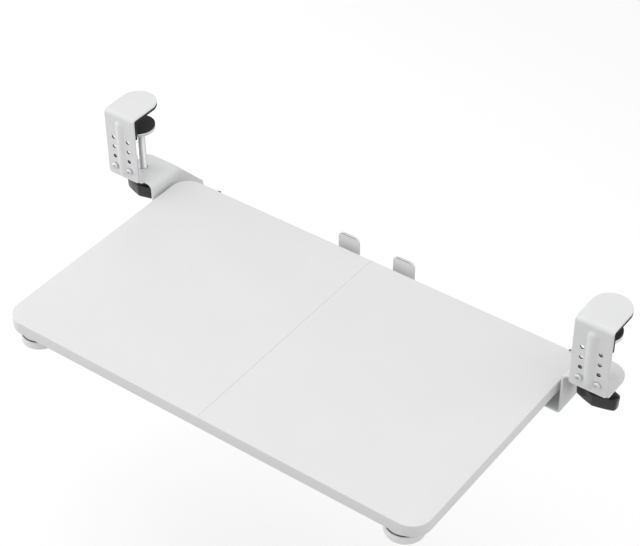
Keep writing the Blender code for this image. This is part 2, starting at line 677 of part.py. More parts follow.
# Lower jaw: upright tab, clamping flange, side wall, guide floor and roller lip
def jaw_bracket(name, side):
    level = (JAW_TOP + JAW_BOTTOM) / 2
    wall = GUIDE_WALL + SHEET / 2
    floor = (GUIDE_FLOOR + GUIDE_BOTTOM) / 2
    lip = (LIP_INNER + LIP_OUTER) / 2
    bends = [JAW_SIDE_BEND_RADIUS, GUIDE_BEND_RADIUS, GUIDE_BEND_RADIUS]
    section = bent_sheet(
        [(CLAMP_OUTER, level), (wall, level), (wall, floor), (lip, floor), (lip, LIP_TOP)], bends, SHEET
    )
    section = [(side * x, z) for x, z in section]
    bracket = prism("jaw_bracket_" + name, section, "Y", GUIDE_FRONT, GUIDE_REAR)

    # Side view: level over the jaw, then sloping down to the guide's rear end
    slope_end = GUIDE_BOTTOM + GUIDE_REAR_HEIGHT
    profile = [
        (GUIDE_FRONT - CUT_SPILL, JAW_TOP + CUT_SPILL), (HOOK_REACH, JAW_TOP + CUT_SPILL),
        (HOOK_REACH, JAW_TOP), (GUIDE_REAR, slope_end), (GUIDE_REAR, GUIDE_BOTTOM - CUT_SPILL),
        (GUIDE_FRONT - CUT_SPILL, GUIDE_BOTTOM - CUT_SPILL),
    ]
    far_in, far_out = side * (LIP_INNER - CUT_SPILL), side * (CLAMP_OUTER + CUT_SPILL)
    combine(bracket, prism("guide_profile_" + name, profile, "X", far_in, far_out), "INTERSECT")

    # Lip: full height past the rollers, then sloping down to its shorter rear end
    lip_slope = ROLLER_REAR_Y + ROLLER_RADIUS
    lip_end = GUIDE_REAR - LIP_REAR_SETBACK
    lip_low = GUIDE_BOTTOM + LIP_REAR_HEIGHT
    waste = [
        (lip_slope, LIP_TOP + CUT_SPILL), (lip_slope, LIP_TOP), (lip_end, lip_low),
        (lip_end, GUIDE_BOTTOM - CUT_SPILL), (GUIDE_REAR + CUT_SPILL, GUIDE_BOTTOM - CUT_SPILL),
        (GUIDE_REAR + CUT_SPILL, LIP_TOP + CUT_SPILL),
    ]
    lip_side = side * (LIP_OUTER + GUIDE_BEND_RADIUS)
    combine(bracket, prism("lip_waste_" + name, waste, "X", far_in, lip_side), "DIFFERENCE")

    # Rounded outer rear corner of the jaw
    corner = arc((CLAMP_X, HOOK_ROUND_Y), PLATE_WIDTH / 2, 0, math.pi / 2)
    out, back = CLAMP_OUTER + CUT_SPILL, HOOK_REACH + CUT_SPILL
    trim = [(side * x, y) for x, y in [(out, HOOK_ROUND_Y), *corner, (CLAMP_X, back), (out, back)]]
    jaw_cut = prism("jaw_corner_" + name, trim, "Z", JAW_BOTTOM - CUT_SPILL, JAW_TOP + CUT_SPILL)
    combine(bracket, jaw_cut, "DIFFERENCE")

    # Tab that stands behind the hook plate
    upright = (JAW_TAB_FRONT + JAW_TAB_BACK) / 2
    tab_path = [(upright, JAW_TOP + JAW_TAB_HEIGHT), (upright, level), (SPINDLE_Y - SPINDLE_RADIUS, level)]
    tab_section = bent_sheet(tab_path, [JAW_TAB_BEND_RADIUS], SHEET)
    tab = prism("jaw_tab_" + name, tab_section, "X", side * CLAMP_INNER, side * CLAMP_OUTER)
    combine(bracket, tab, "UNION")

    for row in range(JAW_TAB_ROWS):
        z = BOLT_ROW + row * ROW_PITCH
        for _, x in BOLT_XS:
            front = (side * x, JAW_TAB_FRONT - CUT_SPILL, z)
            bore(bracket, front, (side * x, JAW_TAB_BACK + CUT_SPILL, z), BOLT_RADIUS + BORE_GAP)
    above = (side * SPINDLE_X, SPINDLE_Y, JAW_TOP + CUT_SPILL)
    below = (side * SPINDLE_X, SPINDLE_Y, JAW_BOTTOM - CUT_SPILL)
    bore(bracket, above, below, SPINDLE_RADIUS + BORE_GAP)
    for y in (ROLLER_FRONT_Y, ROLLER_REAR_Y):
        inside = (far_in, y, ROLLER_HEIGHT)
        bore(bracket, inside, (side * (LIP_OUTER + CUT_SPILL), y, ROLLER_HEIGHT), AXLE_RADIUS + BORE_GAP)
    return finish_part(bracket, "white_powder_coat")


# Clamp screw: weld nut under the jaw, spindle, knob, pressure disc and pad
def hexagon(corner_radius):
    return [(corner_radius * math.cos(a), corner_radius * math.sin(a)) for a in spread(0, math.tau, 7)[:6]]


def knob_plan():
    """Two wings that narrow from a ridge on each side of the hub to blunt tips."""
    tip, blunt, ridge = KNOB_LENGTH / 2, KNOB_TIP_WIDTH / 2, KNOB_WIDTH / 2
    return rounded([
        (tip, -blunt, KNOB_TIP_RADIUS), (tip, blunt, KNOB_TIP_RADIUS), (0, ridge, KNOB_RIDGE_RADIUS),
        (-tip, blunt, KNOB_TIP_RADIUS), (-tip, -blunt, KNOB_TIP_RADIUS), (0, -ridge, KNOB_RIDGE_RADIUS),
    ])


def clamp_screw(name, side):
    x = side * SPINDLE_X
    axis = empty("clamp_screw_axis_" + name, (x, SPINDLE_Y, JAW_BOTTOM))
    nut_corner = NUT_ACROSS_FLATS / math.sqrt(3)

    nut = prism("spindle_nut_" + name, hexagon(nut_corner), "Z", NUT_BOTTOM, NUT_TOP)
    nut.location = (x, SPINDLE_Y, 0)
    above, below = NUT_TOP + CUT_SPILL, NUT_BOTTOM - CUT_SPILL
    bore(nut, (x, SPINDLE_Y, above), (x, SPINDLE_Y, below), SPINDLE_RADIUS + BORE_GAP)
    finish_part(nut, "bright_steel")

    socket_top = DISC_BOTTOM
    shoulder = HUB_BOTTOM - FACE_GAP
    spindle_end = KNOB_BOTTOM + KNOB_FLOOR + FACE_GAP
    profile = [
        (0, socket_top - FACE_GAP), (NECK_RADIUS, socket_top - FACE_GAP), (NECK_RADIUS, shoulder),
        (SPINDLE_RADIUS, shoulder), (SPINDLE_RADIUS, spindle_end), (0, spindle_end),
    ]
    spindle = turned("clamp_spindle_" + name, profile, TURN_STEPS, (x, SPINDLE_Y, 0))
    finish_part(spindle, "bright_steel", axis)

    knob = prism("clamp_knob_" + name, knob_plan(), "Z", KNOB_BOTTOM, KNOB_SHOULDER)
    knob.location = (x, SPINDLE_Y, 0)
    knob.rotation_euler.z = KNOB_TURNS[name]
    taper_and_round(knob)
    root = KNOB_SHOULDER - KNOB_HEIGHT / 2
    hub = [(0, KNOB_TOP), (KNOB_HUB_RADIUS, KNOB_TOP), (KNOB_HUB_RADIUS, root), (0, root)]
    combine(knob, turned("knob_hub_" + name, hub, TURN_STEPS, (x, SPINDLE_Y, 0)), "UNION")
    above = (x, SPINDLE_Y, KNOB_TOP + CUT_SPILL)
    bore(knob, above, (x, SPINDLE_Y, KNOB_BOTTOM + KNOB_FLOOR), SPINDLE_RADIUS + BORE_GAP)
    finish_part(knob, "black_plastic", axis)

    pit = NECK_RADIUS + BORE_GAP
    profile = [
        (0, DISC_TOP), (DISC_RADIUS, DISC_TOP), (DISC_RADIUS, DISC_BOTTOM), (DISC_HUB_RADIUS, DISC_BOTTOM),
        (DISC_HUB_RADIUS, HUB_BOTTOM), (pit, HUB_BOTTOM), (pit, socket_top), (0, socket_top),
    ]
    disc = turned("pressure_disc_" + name, profile, TURN_STEPS, (x, SPINDLE_Y, 0))
    finish_part(disc, "bright_steel", axis)

    pad_top = -GRIP_THICKNESS
    pad_bottom = pad_top - PAD_THICKNESS
    profile = [(0, pad_top), (DISC_RADIUS, pad_top), (DISC_RADIUS, pad_bottom), (0, pad_bottom)]
    finish_part(turned("disc_pad_" + name, profile, TURN_STEPS, (x, SPINDLE_Y, 0)), "black_foam", axis)


def taper_and_round(knob):
    """Draw the knob's foot in, and round its lower rim more than its upper one."""
    cells = bmesh.new()
    cells.from_mesh(knob.data)
    foot = [v for v in cells.verts if v.co.z < (KNOB_BOTTOM + KNOB_SHOULDER) / 2]
    taper = KNOB_FOOT_LENGTH / KNOB_LENGTH
    bmesh.ops.scale(cells, verts=foot, vec=(taper, taper, 1))
    for level, width in ((KNOB_BOTTOM, KNOB_LOWER_ROUND), (KNOB_SHOULDER, KNOB_UPPER_ROUND)):
        flat = [e for e in cells.edges if all(abs(v.co.z - level) < WELD for v in e.verts)]
        rim = [e for e in flat if e.calc_face_angle(0) > RIM_ANGLE]
        bmesh.ops.bevel(cells, geom=rim, offset=width, segments=RIM_STEPS, profile=0.5, affect="EDGES")
    cells.to_mesh(knob.data)
    cells.free()


TRAY = empty("tray_slide_axis", (0, TRAY_FRONT, TRAY_TOP))
joining_plate()
for number, y in enumerate(DOWEL_YS, 1):
    dowel(number, y)
for number, (x, y) in enumerate(JOIN_SCREW_PLACES, 1):
    wood_screw(f"joining_screw_{number}", x, y, TRAY_BOTTOM - FACE_GAP - SHEET - FACE_GAP)
for name, side in SIDES:
    tray_board(name, side)
    runner(name, side)
    for number, y in enumerate(RUNNER_SCREW_YS, 1):
        wood_screw(f"runner_screw_{name}_{number}", side * RUNNER_SCREW_X, y, FLANGE_UNDERSIDE - FACE_GAP)
    runner_stop(name, side)
    puck(name, side)
    hook_plate(name, side)
    hook_pads(name, side)
    jaw_bolts(name, side)
    jaw_bracket(name, side)
    clamp_screw(name, side)
    for place, y in (("front", ROLLER_FRONT_Y), ("rear", ROLLER_REAR_Y)):
        roller(f"roller_{place}_{name}", side, y)
        roller_axle(f"roller_axle_{place}_{name}", side, y)
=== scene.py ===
import math

import bmesh
import bpy
from mathutils import Matrix, Vector


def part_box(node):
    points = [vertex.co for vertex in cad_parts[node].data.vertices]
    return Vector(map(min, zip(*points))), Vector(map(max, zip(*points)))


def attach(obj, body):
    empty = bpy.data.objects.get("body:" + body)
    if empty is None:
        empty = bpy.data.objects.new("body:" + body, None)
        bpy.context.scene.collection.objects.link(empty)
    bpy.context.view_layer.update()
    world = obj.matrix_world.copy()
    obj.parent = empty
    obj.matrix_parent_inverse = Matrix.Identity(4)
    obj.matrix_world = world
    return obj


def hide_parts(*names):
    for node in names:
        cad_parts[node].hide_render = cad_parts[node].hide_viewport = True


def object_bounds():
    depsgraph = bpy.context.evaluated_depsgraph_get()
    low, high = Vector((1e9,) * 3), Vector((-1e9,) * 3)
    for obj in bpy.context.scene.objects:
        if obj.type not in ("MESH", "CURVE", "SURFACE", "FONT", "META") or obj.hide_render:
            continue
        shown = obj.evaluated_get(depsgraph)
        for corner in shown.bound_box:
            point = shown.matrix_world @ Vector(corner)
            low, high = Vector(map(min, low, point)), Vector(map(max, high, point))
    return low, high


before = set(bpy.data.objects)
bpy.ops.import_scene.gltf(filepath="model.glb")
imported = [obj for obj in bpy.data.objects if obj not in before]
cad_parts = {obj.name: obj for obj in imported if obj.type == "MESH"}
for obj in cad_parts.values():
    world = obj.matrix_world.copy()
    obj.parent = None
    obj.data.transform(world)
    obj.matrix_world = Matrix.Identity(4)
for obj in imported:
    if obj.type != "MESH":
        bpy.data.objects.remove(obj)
cadLow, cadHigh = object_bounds()
scene = bpy.context.scene
faceGap = 0.0003          # kept between faces that touch
sheetThickness = 0.002
halfSheet = sheetThickness / 2
mergeDistance = 1e-6
sides = (("Left", "left", -1), ("Right", "right", 1))
print("frame loaded:", len(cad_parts), "nodes")


# Camera at the photograph's place, solved in the part's own frame
camera = dict(place=(0.69873, -0.97384, 0.93193), across=(0.80695, 0.59063, -0.00733),
              down=(0.37282, -0.51891, -0.76927), ahead=(-0.45814, 0.61801, -0.63889),
              focalPixels=1836.88, pictureWidth=640, sensor=36.0, nearest=0.01)
lensData = bpy.data.cameras.new("photoCamera")
lensData.sensor_width = camera["sensor"]
lensData.lens = camera["focalPixels"] / camera["pictureWidth"] * camera["sensor"]
lensData.clip_start = camera["nearest"]
photoCamera = bpy.data.objects.new("photoCamera", lensData)
axes = [Vector(camera["across"]), -Vector(camera["down"]), -Vector(camera["ahead"]), Vector(camera["place"])]
photoCamera.matrix_world = Matrix([[axis[row] for axis in axes] for row in range(3)] + [[0, 0, 0, 1]])
scene.collection.objects.link(photoCamera)
scene.camera = photoCamera


# Shape helpers
def addPiece(name, form):
    bmesh.ops.recalc_face_normals(form, faces=form.faces)
    mesh = bpy.data.meshes.new(name)
    form.to_mesh(mesh)
    form.free()
    piece = bpy.data.objects.new(name, mesh)
    scene.collection.objects.link(piece)
    return piece


def settle(piece, angle=32):
    # put the modifiers into the mesh, then smooth all but the sharp edges
    graph = bpy.context.evaluated_depsgraph_get()
    mesh = bpy.data.meshes.new_from_object(piece.evaluated_get(graph))
    piece.modifiers.clear()
    piece.data = mesh
    mesh.shade_smooth()
    mesh.set_sharp_from_angle(angle=math.radians(angle))
    return piece


def mix(a, b, share):
    return a + (b - a) * share


def spread(a, b, count):
    # even steps from a to b, both included
    return [mix(a, b, i / count) for i in range(count + 1)]


def arcPoints(center, radius, start, end, steps):
    turns = [start + (end - start) * i / steps for i in range(steps + 1)]
    return [(center[0] + radius * math.cos(a), center[1] + radius * math.sin(a)) for a in turns]


def ringPoints(center, radius, count):
    return arcPoints(center, radius, 0, math.tau * (count - 1) / count, count - 1)


def fillet(before, corner, after, radius, steps):
    corner = Vector(corner)
    toBefore = (Vector(before) - corner).normalized()
    toAfter = (Vector(after) - corner).normalized()
    half = toBefore.angle(toAfter) / 2
    center = corner + (toBefore + toAfter).normalized() * (radius / math.sin(half))
    first = corner + toBefore * (radius / math.tan(half)) - center
    last = corner + toAfter * (radius / math.tan(half)) - center
    start = math.atan2(first.y, first.x)
    sweep = math.remainder(math.atan2(last.y, last.x) - start, math.tau)
    return arcPoints(center, radius, start, start + sweep, steps)


def softCorners(corners, steps=6, closed=True):
    # outline from (u, v, radius) corners; an open one keeps its ends as they are
    line = []
    last = len(corners) - 1
    for i, (u, v, radius) in enumerate(corners):
        if radius == 0 or (not closed and i in (0, last)):
            line.append((u, v))
            continue
        line += fillet(corners[i - 1][:2], (u, v), corners[(i + 1) % len(corners)][:2], radius, steps)
    return line


def softBox(low, high, radius):
    # box seen along Y, with round corners
    return softCorners([(low.x, low.z, radius), (high.x, low.z, radius), (high.x, high.z, radius),
                        (low.x, high.z, radius)])


def shrink(outline, depth, leastReach=0.35):
    # closed outline moved in by a small depth, whichever way round it runs
    points = [Vector(p) for p in outline]
    count = len(points)
    area = sum(points[i - 1].x * points[i].y - points[i].x * points[i - 1].y for i in range(count))
    turn = 1 if area > 0 else -1
    moved = []
    for i, point in enumerate(points):
        a = (point - points[i - 1]).normalized()
        b = (points[(i + 1) % count] - point).normalized()
        inward = Vector((-(a.y + b.y), a.x + b.x)) * turn
        reach = max(leastReach, inward.length_squared / 2)
        moved.append(tuple(point + inward * (depth / reach)))
    return moved


def loft(form, rings, caps=True, around=True):
    # skin over rings that have as many points each
    rows = [[form.verts.new(p) for p in ring] for ring in rings]
    count = len(rows[0])
    for low, high in zip(rows, rows[1:]):
        for i in range(count if around else count - 1):
            j = (i + 1) % count
            form.faces.new((low[i], low[j], high[j], high[i]))
    if caps:
        form.faces.new(rows[0][::-1])
        form.faces.new(rows[-1])
    return rows


def sheetLoft(form, rings):
    return loft(form, rings, caps=False, around=False)


def quarterTurn(steps):
    return [math.pi / 2 * i / steps for i in range(steps + 1)]


def roundSteps(low, high, lowRound, highRound, steps=4):
    # (inset, height) pairs up a side whose two rims are rounded
    turns = quarterTurn(steps)
    pairs = [(lowRound * (1 - math.sin(a)), low + lowRound * (1 - math.cos(a))) for a in turns]
    return pairs + [(highRound * (1 - math.cos(a)), high - highRound * (1 - math.sin(a))) for a in turns]


def slab(form, outline, low, high, rim, lift, steps=4):
    # flat piece with rounded rims; lift turns (u, v, height) into a place
    pairs = roundSteps(low, high, rim, rim, steps)
    return loft(form, [[lift(u, v, h) for u, v in shrink(outline, inset)] for inset, h in pairs])


def liftZ(u, v, h):
    return (u, v, h)


def liftY(u, v, h):
    return (u, h, v)


def circle(radius, height, count):
    turns = [math.tau * i / count for i in range(count)]
    return [(radius * math.cos(a), radius * math.sin(a), height) for a in turns]


def turned(form, profile, steps, closed=False):
    # turned form from (radius, height) points; ends at radius 0 become poles
    rows = []
    for radius, height in profile:
        ring = circle(radius, height, steps) if radius > 0 else [(0, 0, height)]
        rows.append([form.verts.new(p) for p in ring])
    pairs = list(zip(rows, rows[1:]))
    if closed:
        pairs.append((rows[-1], rows[0]))
    for high, low in pairs:
        for i in range(steps):
            j = (i + 1) % steps
            corners = [high[i % len(high)], high[j % len(high)], low[j % len(low)], low[i % len(low)]]
            form.faces.new(list(dict.fromkeys(corners)))
    return rows


def loftPiece(name, place, rings, angle):
    form = bmesh.new()
    loft(form, rings)
    form.transform(place)
    return settle(addPiece(name, form), angle)


def turnedPiece(name, place, profile, steps, closed=False):
    form = bmesh.new()
    turned(form, profile, steps, closed)
    form.transform(place)
    return settle(addPiece(name, form))


def threadRings(radius, depth, pitch, start, end, count, perPitch=6, fewest=4):
    # rings of a right-hand thread between two heights, run out at both ends
    rows = max(fewest, round(abs(end - start) / pitch * perPitch))
    rings = []
    for row in range(rows + 1):
        height = start + (end - start) * row / rows
        runOut = min(1, min(row, rows - row) / perPitch)
        ring = []
        for i in range(count):
            phase = (height / pitch - i / count) % 1
            r = radius - depth * (runOut * abs(2 * phase - 1) + (1 - runOut))
            a = math.tau * i / count
            ring.append((r * math.cos(a), r * math.sin(a), height))
        rings.append(ring)
    return rings


def combine(piece, form, operation="DIFFERENCE"):
    # boolean with a throw-away form
    tool = addPiece(piece.name + "Tool", form)
    modifier = piece.modifiers.new("combine", "BOOLEAN")
    modifier.operation = operation
    modifier.object = tool
    modifier.solver = "EXACT"
    settle(piece)
    bpy.data.objects.remove(tool, do_unlink=True)


bit = dict(spill=0.0006, steps=32)


def drillHoles(piece, holes):
    # bores from (start, end, radius, chamfer), with the chamfer at both faces
    tools = bmesh.new()
    for start, end, radius, chamfer in holes:
        start, end = Vector(start), Vector(end)
        length, wide, spill = (end - start).length, radius + chamfer, bit["spill"]
        profile = [(0, -spill), (wide + spill, -spill), (wide, 0), (radius, chamfer),
                   (radius, length - chamfer), (wide, length), (wide + spill, length + spill),
                   (0, length + spill)]
        rows = turned(tools, profile, bit["steps"])
        place = Matrix.Translation(start) @ (end - start).to_track_quat("Z", "Y").to_matrix().to_4x4()
        bmesh.ops.transform(tools, matrix=place, verts=sum(rows, []))
    combine(piece, tools)


def thicken(piece, thickness, rim, segments=3, sharpest=60):
    # sheet of metal from its middle surface, with softened edges
    solid = piece.modifiers.new("thickness", "SOLIDIFY")
    solid.thickness = thickness
    solid.offset = 0
    solid.use_even_offset = True
    edge = piece.modifiers.new("edge", "BEVEL")
    edge.width = rim
    edge.segments = segments
    edge.limit_method = "ANGLE"
    edge.angle_limit = math.radians(sharpest)
    edge.use_clamp_overlap = False
    return settle(piece)


def mirrorForm(form, side):
    if side < 0:
        bmesh.ops.scale(form, verts=form.verts, vec=(-1, 1, 1))
        bmesh.ops.reverse_faces(form, faces=form.faces)
    return form


def middle(node):
    low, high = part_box(node)
    return (low + high) / 2


def upright(node, height=0):
    # from a form that stands about Z to its node's place
    return Matrix.Translation((*middle(node).xy, height))


def onAxle(node):
    # from a form that stands about Z to its node's place, laid along X
    return Matrix.Translation(middle(node)) @ Matrix.Rotation(math.pi / 2, 4, "Y")


# Material helpers
def addNode(tree, kind, **settings):
    node = tree.nodes.new("ShaderNode" + kind)
    for key, value in settings.items():
        setattr(node, key, value)
    return node


def plug(tree, socket, value):
    # a socket takes either a plain value or another node's output
    if isinstance(value, bpy.types.NodeSocket):
        tree.links.new(value, socket)
    else:
        socket.default_value = value


def feed(tree, node, **values):
    # sockets by name, with _ for a blank
    for label, value in values.items():
        plug(tree, node.inputs[label.replace("_", " ")], value)


def calc(tree, operation, *values, clamp=False):
    node = addNode(tree, "Math", operation=operation, use_clamp=clamp)
    for socket, value in zip(node.inputs, values):
        plug(tree, socket, value)
    return node.outputs[0]


def opaque(color):
    return (*color, 1)


def blend(tree, share, first, second):
    node = addNode(tree, "Mix", data_type="RGBA")
    for index, value in ((0, share), (6, first), (7, second)):          # the sockets for colours
        plug(tree, node.inputs[index], value)
    return node.outputs[2]


def newGroup(name, inputs, outputs):
    group = bpy.data.node_groups.new(name, "ShaderNodeTree")
    for label, kind, value in inputs:
        socket = group.interface.new_socket(label, in_out="INPUT", socket_type="NodeSocket" + kind)
        socket.default_value = value
    for label in outputs:
        group.interface.new_socket(label, in_out="OUTPUT", socket_type="NodeSocketFloat")
    return group, group.nodes.new("NodeGroupInput").outputs, group.nodes.new("NodeGroupOutput")


def useGroup(tree, group, **values):
    node = addNode(tree, "Group", node_tree=group)
    feed(tree, node, **values)
    return node.outputs


def noiseOver(tree, scale, detail=2.0, stretch=None):
    # noise over a piece's own coordinates
    spot = addNode(tree, "TexCoord").outputs["Object"]
    if stretch:
        stretched = addNode(tree, "VectorMath", operation="MULTIPLY")
        tree.links.new(spot, stretched.inputs[0])
        tree.links.new(stretch, stretched.inputs[1])
        spot = stretched.outputs[0]
    noise = addNode(tree, "TexNoise")
    feed(tree, noise, Vector=spot, Scale=scale, Detail=detail)
    return noise.outputs[0]


def faceNormal(tree):
    return addNode(tree, "NewGeometry").outputs["Normal"]


def upwardness(tree):
    parts = addNode(tree, "SeparateXYZ")
    tree.links.new(faceNormal(tree), parts.inputs[0])
    return parts.outputs["Z"]


def makeGrain():
    # noise stretched along any axis, mapped between a low and a high value
    group, start, end = newGroup("grain", [
        ("Scale", "Float", 1000.0), ("Stretch", "Vector", (1, 1, 1)), ("Detail", "Float", 3.0),
        ("Low", "Float", 0.0), ("High", "Float", 1.0)], ["Value", "Height"])
    noise = noiseOver(group, start["Scale"], start["Detail"], start["Stretch"])
    mapped = addNode(group, "MapRange")
    feed(group, mapped, Value=noise, From_Min=0.3, From_Max=0.7, To_Min=start["Low"], To_Max=start["High"])
    feed(group, end, Value=mapped.outputs[0], Height=noise)
    return group


def makeEdgeRubAndHighlight():
    # mask of outer edges, broken up by noise; the finishes lighten them as rubbed wear and as a painted
    # highlight
    group, start, end = newGroup("edgeRubAndHighlight", [
        ("Radius", "Float", 0.0006), ("Gain", "Float", 4.0), ("Breakup", "Float", 400.0)], ["Mask"])
    rounder = addNode(group, "Bevel", samples=4)
    feed(group, rounder, Radius=start["Radius"])
    along = addNode(group, "VectorMath", operation="DOT_PRODUCT")
    group.links.new(rounder.outputs[0], along.inputs[0])
    group.links.new(faceNormal(group), along.inputs[1])
    bend = calc(group, "SUBTRACT", 1.0, along.outputs["Value"], clamp=True)
    strong = calc(group, "MULTIPLY", bend, start["Gain"])
    feed(group, end, Mask=calc(group, "MULTIPLY", strong, noiseOver(group, start["Breakup"]), clamp=True))
    return group


def makeDust():
    # mask of what settles on faces that look up
    group, start, end = newGroup("dust", [("Amount", "Float", 0.1), ("Scale", "Float", 60.0)], ["Mask"])
    upward = calc(group, "MULTIPLY", upwardness(group), start["Amount"], clamp=True)
    noise = noiseOver(group, start["Scale"], detail=6.0)
    feed(group, end, Mask=calc(group, "MULTIPLY", upward, noise, clamp=True))
    return group


grain = makeGrain()
edgeRubAndHighlight = makeEdgeRubAndHighlight()
dust = makeDust()
black = (0, 0, 0, 1)


def grainOf(tree, look, part):
    # grain by a look's values for one part of it, such as cloudScale and cloudLow
    keys = [key for key in ("Scale", "Detail", "Low", "High", "Stretch") if part + key in look]
    return useGroup(tree, grain, **{key: look[part + key] for key in keys})


def wornAndHighlit(tree, base, look):
    # lighter edges, partly rubbed wear and partly painted highlight, then dust
    if "edgeMarkGain" in look:
        rubAndHighlight = useGroup(tree, edgeRubAndHighlight, Radius=look["edgeMarkRadius"], Gain=look["edgeMarkGain"])
        base = blend(tree, rubAndHighlight["Mask"], base, opaque(look["rubAndHighlightColor"]))
    if "dust" in look:
        settled = useGroup(tree, dust, Amount=look["dust"])
        base = blend(tree, settled["Mask"], base, opaque(look["dustColor"]))
    return base


def newMaterial(name):
    material = bpy.data.materials.new(name)
    material.use_nodes = True
    tree = material.node_tree
    return material, tree, tree.nodes["Principled BSDF"]


def bumpFrom(tree, height, strength, distance, normal=None):
    bump = addNode(tree, "Bump")
    feed(tree, bump, Strength=strength, Distance=distance, Height=height)
    if normal:
        feed(tree, bump, Normal=normal)
    return bump.outputs[0]


def cover(tree, shader, look, base, rough, normal, **rest):
    feed(tree, shader, Base_Color=wornAndHighlit(tree, base, look), Roughness=rough["Value"], Normal=normal, **rest)


coatGrain = dict(cloudDetail=4.0, speckDetail=2.0, skinDetail=2.0, fineDetail=1.0)
fineSkin = dict(scale=3.7, depth=0.25)          # second, finer skin as shares of the first


def coatedFinish(name, look):
    # paints, laminates and moulded plastics: cloudy tone, edges lightened as rubbing and painted highlight,
    # fine skin
    material, tree, shader = newMaterial(name)
    look = dict(coatGrain, fineScale=look["skinScale"] * fineSkin["scale"], **look)
    parts = ("cloud", "speck", "gloss", "skin", "fine")
    cloud, speck, gloss, skin, fine = [grainOf(tree, look, part) for part in parts]
    shade = calc(tree, "MULTIPLY", cloud["Value"], speck["Value"])
    base = blend(tree, shade, black, opaque(look["color"]))
    strength, depth = look["skinStrength"], look["skinDepth"]
    wide = bumpFrom(tree, skin["Height"], strength, depth)
    normal = bumpFrom(tree, fine["Height"], strength, depth * fineSkin["depth"], wide)
    cover(tree, shader, look, base, gloss, normal, IOR=look["ior"])
    return material


def metalFinish(name, look):
    # bare metals: drawn or turned lines, uneven gloss along them, edges lightened as rubbing and painted
    # highlight
    material, tree, shader = newMaterial(name)
    look = dict(look, glossStretch=look["lineStretch"], glossDetail=4.0)
    lines = grainOf(tree, look, "line")
    base = blend(tree, lines["Value"], black, opaque(look["color"]))
    normal = bumpFrom(tree, lines["Height"], look["lineStrength"], look["lineDepth"])
    cover(tree, shader, look, base, grainOf(tree, look, "gloss"), normal, Metallic=1.0)
    return material


whiteSteelLook = dict(
    color=(0.785, 0.787, 0.790), cloudScale=38.0, cloudLow=0.975, speckScale=2600.0, speckLow=0.972,
    edgeMarkRadius=0.0007, edgeMarkGain=2.2, rubAndHighlightColor=(0.86, 0.86, 0.86), dust=0.05, dustColor=(0.70, 0.69, 0.67),
    glossScale=90.0, glossLow=0.36, glossHigh=0.46, skinScale=1300.0, skinStrength=0.22, skinDepth=0.00006,
    ior=1.48)
blackPlasticLook = dict(
    color=(0.010, 0.010, 0.0105), cloudScale=120.0, cloudLow=0.80, speckScale=3000.0, speckLow=0.80,
    edgeMarkRadius=0.0008, edgeMarkGain=2.4, rubAndHighlightColor=(0.045, 0.045, 0.046), dust=0.03, dustColor=(0.14, 0.136, 0.13),
    glossScale=160.0, glossLow=0.11, glossHigh=0.19, skinScale=1700.0, skinStrength=0.12, skinDepth=0.00004,
    ior=1.46)
whiteNylonLook = dict(
    color=(0.90, 0.90, 0.897), cloudScale=90.0, cloudLow=0.965, speckScale=1800.0, speckLow=0.97,
    edgeMarkRadius=0.0008, edgeMarkGain=1.8, rubAndHighlightColor=(0.92, 0.92, 0.915), dust=0.05, dustColor=(0.66, 0.65, 0.63),
    glossScale=140.0, glossLow=0.40, glossHigh=0.54, skinScale=1500.0, skinStrength=0.2, skinDepth=0.00005,
    ior=1.53)
# near black that paints the shade inside the deep bolt holes
paintedBoreShadeLook = dict(
    color=(0.050, 0.050, 0.051), cloudScale=200.0, cloudLow=0.85, speckScale=3200.0, speckLow=0.85,
    edgeMarkRadius=0.0002, edgeMarkGain=1.0, rubAndHighlightColor=(0.10, 0.10, 0.10), dust=0.02, dustColor=(0.14, 0.136, 0.13),
    glossScale=300.0, glossLow=0.45, glossHigh=0.62, skinScale=2400.0, skinStrength=0.3, skinDepth=0.00006,
    ior=1.5)
# dark grey that paints the shade on the puck's top under the spacer
shadeRingLook = dict(paintedBoreShadeLook, color=(0.14, 0.14, 0.142), rubAndHighlightColor=(0.2, 0.2, 0.2))
zincLook = dict(
    color=(0.61, 0.613, 0.62), lineScale=1100.0, lineStretch=(1.0, 1.0, 1.0), lineLow=0.90,
    lineStrength=0.10, lineDepth=0.00004, edgeMarkRadius=0.0005, edgeMarkGain=1.6, rubAndHighlightColor=(0.68, 0.68, 0.68),
    glossScale=520.0, glossLow=0.44, glossHigh=0.56)
brightSteelLook = dict(
    color=(0.66, 0.665, 0.675), lineScale=900.0, lineStretch=(0.25, 0.25, 3.0), lineLow=0.88,
    lineStrength=0.10, lineDepth=0.00004, edgeMarkRadius=0.0005, edgeMarkGain=2.0, rubAndHighlightColor=(0.74, 0.74, 0.74),
    glossScale=420.0, glossLow=0.28, glossHigh=0.42)
aluminiumLook = dict(
    color=(0.72, 0.725, 0.735), lineScale=1600.0, lineStretch=(1.0, 0.02, 1.0), lineLow=0.86,
    lineStrength=0.14, lineDepth=0.00004, edgeMarkRadius=0.0006, edgeMarkGain=1.8, rubAndHighlightColor=(0.80, 0.80, 0.81),
    glossScale=700.0, glossLow=0.30, glossHigh=0.44)
boardLook = dict(
    color=(0.790, 0.791, 0.793), bandColor=(0.805, 0.806, 0.808), faceLimit=0.7,
    cloudScale=14.0, cloudDetail=4.0, cloudLow=0.982, fleckScale=900.0, fleckDetail=2.0, fleckLow=0.975,
    fleckStretch=(1.0, 0.35, 1.0), edgeMarkRadius=0.0008, edgeMarkGain=1.4, rubAndHighlightColor=(0.85, 0.85, 0.85),
    dust=0.035, dustColor=(0.69, 0.68, 0.66), glossScale=55.0, glossDetail=4.0, glossLow=0.36, glossHigh=0.45,
    pearlScale=1500.0, pearlStrength=0.20, pearlDepth=0.00006, ior=1.47)


